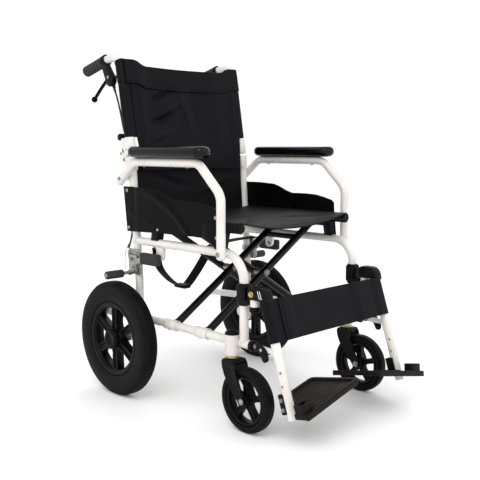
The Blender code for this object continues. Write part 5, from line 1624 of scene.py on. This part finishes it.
@dataclass
class Upholstery:
    """Seat sling, the two back panels with their sleeves and flap, calf strap and lap belt."""

    cane_x: float = 0.2086
    fold_anchor: float = -0.2086
    fold_keep: float = 0.479

    def build(self) -> None:
        """Build every fabric piece."""
        self.seat()
        for side in Side:
            self.back_sleeve(side)
            self.calf_loop(side)
        self.back_upper()
        self.back_flap()
        self.back_lower()
        self.calf_panel()
        self.lap_belt()

    def fold_up(self, obj: bpy.types.Object) -> None:
        """Give a piece that spans the chair its own copy of its mesh."""
        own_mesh(obj)

    def cane_y(self, z: float) -> float:
        """Y of the cane's middle at a height."""
        return 0.0060 + (z - 0.6465) / (0.9100 - 0.6465) * 0.0440

    def post_y(self, z: float) -> float:
        """Y of the rear post's middle at a height."""
        return -0.021 + (z - 0.310) / 0.330 * 0.0245

    def seat(self) -> None:
        """Sling wrapped over both seat tubes, sagging most along its front hem."""
        half, height, wrap = 0.200, 0.477, 0.0126
        turn = math.radians(200.0)
        arc_run = turn * wrap
        width = 2.0 * (half + arc_run)

        def place(u: float, v: float) -> Vector:
            run = u * width - arc_run
            y = -0.4045 + 0.3680 * v
            if run < 0.0 or run > 2.0 * half:
                over = -run if run < 0.0 else run - 2.0 * half
                angle = over / wrap
                x = half + wrap * math.sin(angle)
                z = height + wrap * math.cos(angle)
                return Vector((-x if run < 0.0 else x, AXLE.y + y, z))
            x = run - half
            t = x / half
            sag = (0.011 + 0.013 * math.exp(-v / 0.10)) * (1.0 - t * t)
            ripple = crease(u, v, (0.12, 0.05), (0.45, 0.40), 0.030, 0.0022)
            ripple += crease(u, v, (0.88, 0.05), (0.60, 0.45), 0.030, 0.0022)
            ripple += crease(u, v, (0.15, 0.55), (0.85, 0.62), 0.050, 0.0015)
            return Vector((x, AXLE.y + y, height + wrap - sag - ripple))
        sling = cloth("seat_cloth", (width, 0.368), (110, 64), place)

        def edge(v: float, drop: float) -> Callable[[float], Vector]:
            return lambda s: place(0.09 + 0.82 * s, v) - UP * drop
        parts = [sling, hem("front_hem", edge(0.0, 0.0), 60, 0.0019),
                 hem("front_stitch", edge(0.045, -0.0006), 60, 0.0007),
                 hem("rear_hem", edge(1.0, 0.0), 60, 0.0016)]
        sling = join("seat_cloth", parts)
        ROLL.bend(sling, Side.LEFT.at(half, -0.22, height),
                  Side.RIGHT.at(half, -0.22, height), CLOTH, ["seat_sling"])

    def back_sleeve(self, side: Side) -> None:
        """Sleeve sewn round a cane, with the ear that covers the cane's bend."""
        radius, seam = 0.0127, 0.166
        girth = math.pi * radius + 2.0 * (self.cane_x - seam)

        def place(u: float, v: float) -> Vector:
            z = 0.694 + 0.205 * v
            y = self.cane_y(z)
            run = u * girth
            flank = self.cane_x - seam
            if run < flank:
                t = run / flank
                return side.at(seam + run, y - radius + 0.0006 * (1 - t), z)
            if run > flank + math.pi * radius:
                t = (run - flank - math.pi * radius) / flank
                ease = t * t * (3.0 - 2.0 * t)
                return side.at(self.cane_x - (run - flank - math.pi * radius),
                               y + radius - (2.0 * radius - 0.0030) * ease, z)
            angle = (run - flank) / radius
            return side.at(self.cane_x + radius * math.sin(angle), y - radius * math.cos(angle), z)
        sleeve = cloth(f"back_sleeve_{side.tag}", (girth, 0.205), (48, 40), place)
        ROLL.settle(sleeve, f"back_{side.tag}", CLOTH, (), 60.0)
        self.ear(side)

    def ear(self, side: Side) -> None:
        """Pocket that caps the cane at its bend, part of the top flap."""
        path = [p for p in Handle(side).path() if p.z > 0.83]
        start = side.at(self.cane_x, self.cane_y(0.8400), 0.8400)
        keep = [start] + [p for p in path if p.y < AXLE.y + 0.0530 and 0.8410 < p.z < 0.9010]
        cap = tube(f"back_ear_{side.tag}", keep, 0.0150, 28)
        cap.data.uv_layers.new(name="UVMap")
        focus(cap)
        bpy.ops.object.mode_set(mode="EDIT")
        bpy.ops.mesh.select_all(action="SELECT")
        bpy.ops.uv.cube_project(cube_size=1.0)
        close_edit()
        ROLL.settle(cap, f"back_{side.tag}", CLOTH, (), 50.0)

    def panel_depth(self, u: float, v: float) -> float:
        """How far the upper panel gives way behind the line between the canes."""
        give = 0.010 * (4.0 * u * (1.0 - u))
        folds = crease(u, v, (0.12, 0.62), (0.42, 0.86), 0.028, 0.0040)
        folds -= crease(u, v, (0.16, 0.50), (0.46, 0.70), 0.034, 0.0042)
        folds += crease(u, v, (0.10, 0.42), (0.40, 0.56), 0.028, 0.0034)
        folds -= crease(u, v, (0.52, 0.36), (0.44, 0.84), 0.024, 0.0032)
        folds += crease(u, v, (0.62, 0.30), (0.56, 0.86), 0.030, 0.0026)
        folds += crease(u, v, (0.08, 0.12), (0.36, 0.24), 0.026, 0.0026)
        folds -= crease(u, v, (0.10, 0.26), (0.34, 0.40), 0.024, 0.0026)
        folds += crease(u, v, (0.94, 0.20), (0.66, 0.40), 0.032, 0.0022)
        folds -= crease(u, v, (0.95, 0.60), (0.70, 0.72), 0.030, 0.0022)
        return (give + folds) * slack_mask(u)

    def back_upper(self) -> None:
        """Front layer of the folding part, gathered in soft diagonal folds."""
        half, low, high = 0.1935, 0.606, 0.882

        def place(u: float, v: float) -> Vector:
            z = low + (high - low) * v
            inset = 0.010 * max(0.0, 1.0 - (z - low) / 0.085)
            x = (2.0 * u - 1.0) * (half - inset)
            y = self.cane_y(max(z, 0.62)) - 0.0145 + self.panel_depth(u, v)
            return Vector((x, AXLE.y + y, z))
        panel = cloth("back_cloth_upper", (2.0 * half, high - low), (96, 80), place)

        def seam(u: float) -> Callable[[float], Vector]:
            return lambda s: place(u, s) + FORWARD * 0.0009
        parts = [panel] + [hem("panel_seam", seam(u), 60, 0.0009) for u in (0.045, 0.075, 0.925,
                                                                            0.955)]
        parts.append(hem("panel_foot", lambda s: place(s, 0.0), 60, 0.0014))
        panel = join("back_cloth_upper", parts)
        ROLL.settle(panel, "back_right", CLOTH, ["back_upper"], 60.0)
        self.fold_up(panel)

    def back_flap(self) -> None:
        """Flap folded over the top: high at the canes, dipping between them."""
        half = 0.2100

        def edges(u: float) -> tuple[float, float]:
            reach = abs(2.0 * u - 1.0)
            ease = min(max((reach - 0.64) / 0.22, 0.0), 1.0)
            ease = ease * ease * (3.0 - 2.0 * ease)
            wave = 0.0014 * math.sin(9.0 * u + 0.6)
            return 0.8270 + 0.0120 * ease + wave, 0.8850 + 0.0150 * ease + 0.5 * wave

        def place(u: float, v: float) -> Vector:
            bottom, top = edges(u)
            z = bottom + (top - bottom) * v
            x = (2.0 * u - 1.0) * half
            under = self.panel_depth(min(max((x / 0.1935 + 1.0) / 2.0, 0.0), 1.0),
                                     (z - 0.606) / 0.276)
            flare = 0.0020 + 0.0020 * (1.0 - v) * (0.6 + 0.4 * math.sin(21.0 * u))
            y = self.cane_y(z) - 0.0160 + max(under, 0.0) - flare
            return Vector((x, AXLE.y + y, z))
        flap = cloth("back_flap", (2.0 * half, 0.0620), (96, 20), place)
        parts = [flap, hem("flap_hem", lambda s: place(s, 0.0), 80, 0.0015),
                 hem("flap_stitch", lambda s: place(s, 0.10) + FORWARD * 0.0008, 80, 0.0006),
                 hem("flap_top", lambda s: place(s, 1.0), 80, 0.0016)]
        flap = join("back_flap", parts)
        ROLL.settle(flap, "back_right", CLOTH, (), 60.0)
        self.fold_up(flap)

    def back_lower(self) -> None:
        """Panel between the posts, behind the folding part."""
        half, low, high = 0.1960, 0.470, 0.644

        def place(u: float, v: float) -> Vector:
            z = low + (high - low) * v
            give = 0.008 * (4.0 * u * (1.0 - u))
            give += crease(u, v, (0.08, 0.75), (0.50, 0.45), 0.05, 0.002)
            give -= crease(u, v, (0.95, 0.70), (0.55, 0.35), 0.05, 0.002)
            return Vector(((2.0 * u - 1.0) * half, AXLE.y + self.post_y(z) + give, z))
        panel = cloth("back_cloth_lower", (2.0 * half, high - low), (72, 36), place)
        parts = [panel, hem("lower_foot", lambda s: place(s, 0.0), 60, 0.0015),
                 hem("lower_top", lambda s: place(s, 1.0), 60, 0.0013)]
        parts += [hem("lower_edge", lambda s, u=u: place(u, s), 40, 0.0022) for u in (0.0, 1.0)]
        panel = join("back_cloth_lower", parts)
        ROLL.settle(panel, "frame_right", CLOTH, ["back_lower"], 60.0)
        self.fold_up(panel)

    def strap_line(self, drop: float) -> tuple[float, float]:
        """(y, z) of the hangers' axis at a distance down the long leg."""
        lean = Footrest(Side.RIGHT).lean()
        return -0.4905 + lean.y * drop, 0.335 + lean.z * drop

    def calf_loop(self, side: Side) -> None:
        """Loop of the calf strap round one hanger."""
        hanger_x, radius, seam, length = 0.2123, 0.0127, 0.166, 0.096
        girth = math.pi * radius + 2.0 * (hanger_x - seam)
        lean = Footrest(side).lean()
        ahead = Vector((0.0, lean.z, -lean.y))

        def place(u: float, v: float) -> Vector:
            y, z = self.strap_line(0.016 + length * (1.0 - v))
            base = side.at(0.0, y, z)
            run, flank = u * girth, hanger_x - seam
            if run < flank:
                return base + side.out() * (seam + run) + ahead * radius
            if run > flank + math.pi * radius:
                t = (run - flank - math.pi * radius) / flank
                ease = t * t * (3.0 - 2.0 * t)
                return (base + side.out() * (hanger_x - flank * t)
                        + ahead * (-radius + (2.0 * radius - 0.0030) * ease))
            angle = (run - flank) / radius
            return (base + side.out() * (hanger_x + radius * math.sin(angle))
                    + ahead * (radius * math.cos(angle)))
        loop = cloth(f"calf_loop_{side.tag}", (girth, length), (48, 20), place)
        parts = [loop] + [hem("loop_hem", lambda s, v=v: place(s, v), 60, 0.0013)
                          for v in (0.0, 1.0)]
        loop = join(loop.name, parts)
        ROLL.settle(loop, f"hanger_{side.tag}", CLOTH, (), 60.0)

    def calf_panel(self) -> None:
        """The strap between its loops, a little slack."""
        half, length = 0.1860, 0.096
        lean = Footrest(Side.RIGHT).lean()
        ahead = Vector((0.0, lean.z, -lean.y))

        def place(u: float, v: float) -> Vector:
            y, z = self.strap_line(0.016 + length * (1.0 - v))
            slack = 0.006 * (4.0 * u * (1.0 - u))
            slack += crease(u, v, (0.10, 0.20), (0.55, 0.45), 0.05, 0.0014)
            slack -= crease(u, v, (0.35, 0.80), (0.92, 0.62), 0.05, 0.0014)
            return (Vector(((2.0 * u - 1.0) * half, AXLE.y + y, z))
                    + ahead * (0.0148 - slack * slack_mask(u)))
        panel = cloth("calf_cloth", (2.0 * half, length), (80, 20), place)
        parts = [panel] + [hem("calf_hem", lambda s, v=v: place(s, v), 60, 0.0014)
                           for v in (0.0, 1.0)]
        parts += [hem("calf_seam", lambda s, u=u: place(u, s) + ahead * 0.0009, 30, 0.0008)
                  for u in (0.0, 0.03, 0.97, 1.0)]
        panel = join("calf_cloth", parts)
        ROLL.settle(panel, "hanger_right", CLOTH, ["calf_strap"], 60.0)
        self.fold_up(panel)

    def lap_belt(self) -> None:
        """Webbing that hangs in a V below the seat, with its adjuster."""
        run = [(-0.190, 0.398), (-0.182, 0.350), (-0.150, 0.312), (-0.112, 0.287),
               (-0.086, 0.285), (-0.050, 0.318), (-0.020, 0.352), (0.010, 0.386),
               (0.090, 0.396), (0.190, 0.398)]
        route = smooth_path([Vector((x, AXLE.y, z)) for x, z in run], 10)
        length = sum((b - a).length for a, b in zip(route, route[1:]))
        count = len(route) - 1

        def place(u: float, v: float) -> Vector:
            where = min(max(v * count, 0.0), count)
            index = min(int(where + 1e-6), count - 1)
            point = route[index].lerp(route[index + 1], where - index)
            return point + REARWARD * (-0.0895 + 0.0340 * u)
        belt = cloth("belt_webbing", (0.0340, length), (8, count), place, 0.0020)
        edges = [hem("belt_edge", lambda s, u=u: place(u, s), count, 0.0011) for u in (0.0, 1.0)]
        belt = join("belt_webbing", [belt, *edges])
        ROLL.settle(belt, "frame_right", WEBBING, ["lap_belt"], 50.0)
        self.fold_up(belt)
        clip = block("belt_adjuster", Vector((-0.1120, AXLE.y - 0.0945, 0.2800)),
                     Vector((-0.0880, AXLE.y - 0.0505, 0.2905)), 0.0025, 3)
        ROLL.settle(clip, "frame_right", TREADPLATE)
        self.fold_up(clip)

# ---------------------------------------------------------------- stage


LAMP_TARGET = Vector((0.0, 0.0, 0.45))
SURROUND_STRENGTH = 1.06
SENSOR_WIDTH_MM = 36.0


@dataclass
class Stage:
    """Pale floor, soft lights and the camera."""

    camera_at: Vector = field(default_factory=lambda: Vector((-1.4327, -1.4326, 0.6672)))
    yaw: float = 45.305
    pitch: float = -7.047
    lens: float = 56.36

    def build(self) -> None:
        """Lay the floor, hang the lights and place the camera."""
        self.floor()
        self.light("key_window", Vector((-1.9, -1.3, 2.4)), 1.8, 30.0)
        self.light("front_window", Vector((0.6, -2.6, 1.7)), 1.8, 10.0)
        self.light("back_window", Vector((1.6, 1.8, 2.2)), 1.8, 10.0)
        self.world()
        self.camera()

    def floor(self) -> None:
        """A wide painted floor, made as one plane."""
        deselect()
        bpy.ops.mesh.primitive_plane_add(size=14.0, location=(0.0, 0.0, 0.0))
        floor = bpy.context.object
        floor.name = "studio_floor"
        floor.data.materials.append(FLOOR_PAINT.material())

    def light(self, name: str, place: Vector, size: float, watts: float) -> None:
        """Hang one square soft light that faces the chair's middle."""
        deselect()
        bpy.ops.object.light_add(type="AREA", location=place)
        lamp = bpy.context.object
        lamp.name = name
        lamp.data.size = size
        lamp.data.energy = watts
        lamp.rotation_euler = (LAMP_TARGET - place).to_track_quat("-Z", "Y").to_euler()

    def world(self) -> None:
        """An even white surround."""
        world = bpy.data.worlds.new("white_surround")
        world.use_nodes = True
        world.node_tree.nodes["Background"].inputs["Color"].default_value = (1.0, 1.0, 1.0, 1.0)
        world.node_tree.nodes["Background"].inputs["Strength"].default_value = SURROUND_STRENGTH
        bpy.context.scene.world = world
        bpy.context.scene.view_settings.view_transform = "Standard"

    def camera(self) -> None:
        """Place the camera at a three-quarter angle in front of the chair's right side."""
        yaw, pitch = math.radians(self.yaw), math.radians(self.pitch)
        ahead = Vector((math.cos(yaw) * math.cos(pitch), math.sin(yaw) * math.cos(pitch),
                        math.sin(pitch)))
        right = Vector((math.sin(yaw), -math.cos(yaw), 0.0))
        above = right.cross(ahead)
        data = bpy.data.cameras.new("chair_camera")
        data.lens = self.lens
        data.sensor_width = SENSOR_WIDTH_MM
        camera = bpy.data.objects.new("chair_camera", data)
        axes = Matrix((right, above, -ahead)).transposed()
        camera.matrix_world = Matrix.Translation(self.camera_at) @ axes.to_4x4()
        bpy.context.scene.collection.objects.link(camera)
        bpy.context.scene.camera = camera


# ---------------------------------------------------------------- the whole chair


CARRIED_NODES = {
    "rear_axle": ZINC,
}


def paint_nodes() -> None:
    """Give the plain machined nodes that stay in view their finishes."""
    for name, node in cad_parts.items():
        finish = CARRIED_NODES.get(name.rsplit("_", 1)[0], NYLON)
        node.data.materials.clear()
        node.data.materials.append(finish.material())


def main() -> None:
    """Build the whole chair in order, then the stage."""
    logging.basicConfig(level=logging.INFO, format="%(message)s")
    paint_nodes()
    for side in Side:
        SideFrame(side).build()
        rear_wheel(side)
        caster(side)
        Footrest(side).build()
        Handle(side).build()
    Crossbars().build()
    Upholstery().build()
    Stage().build()
    LOG.info("pieces: %d", len(ROLL.names))


if __name__ == "__main__":
    main()
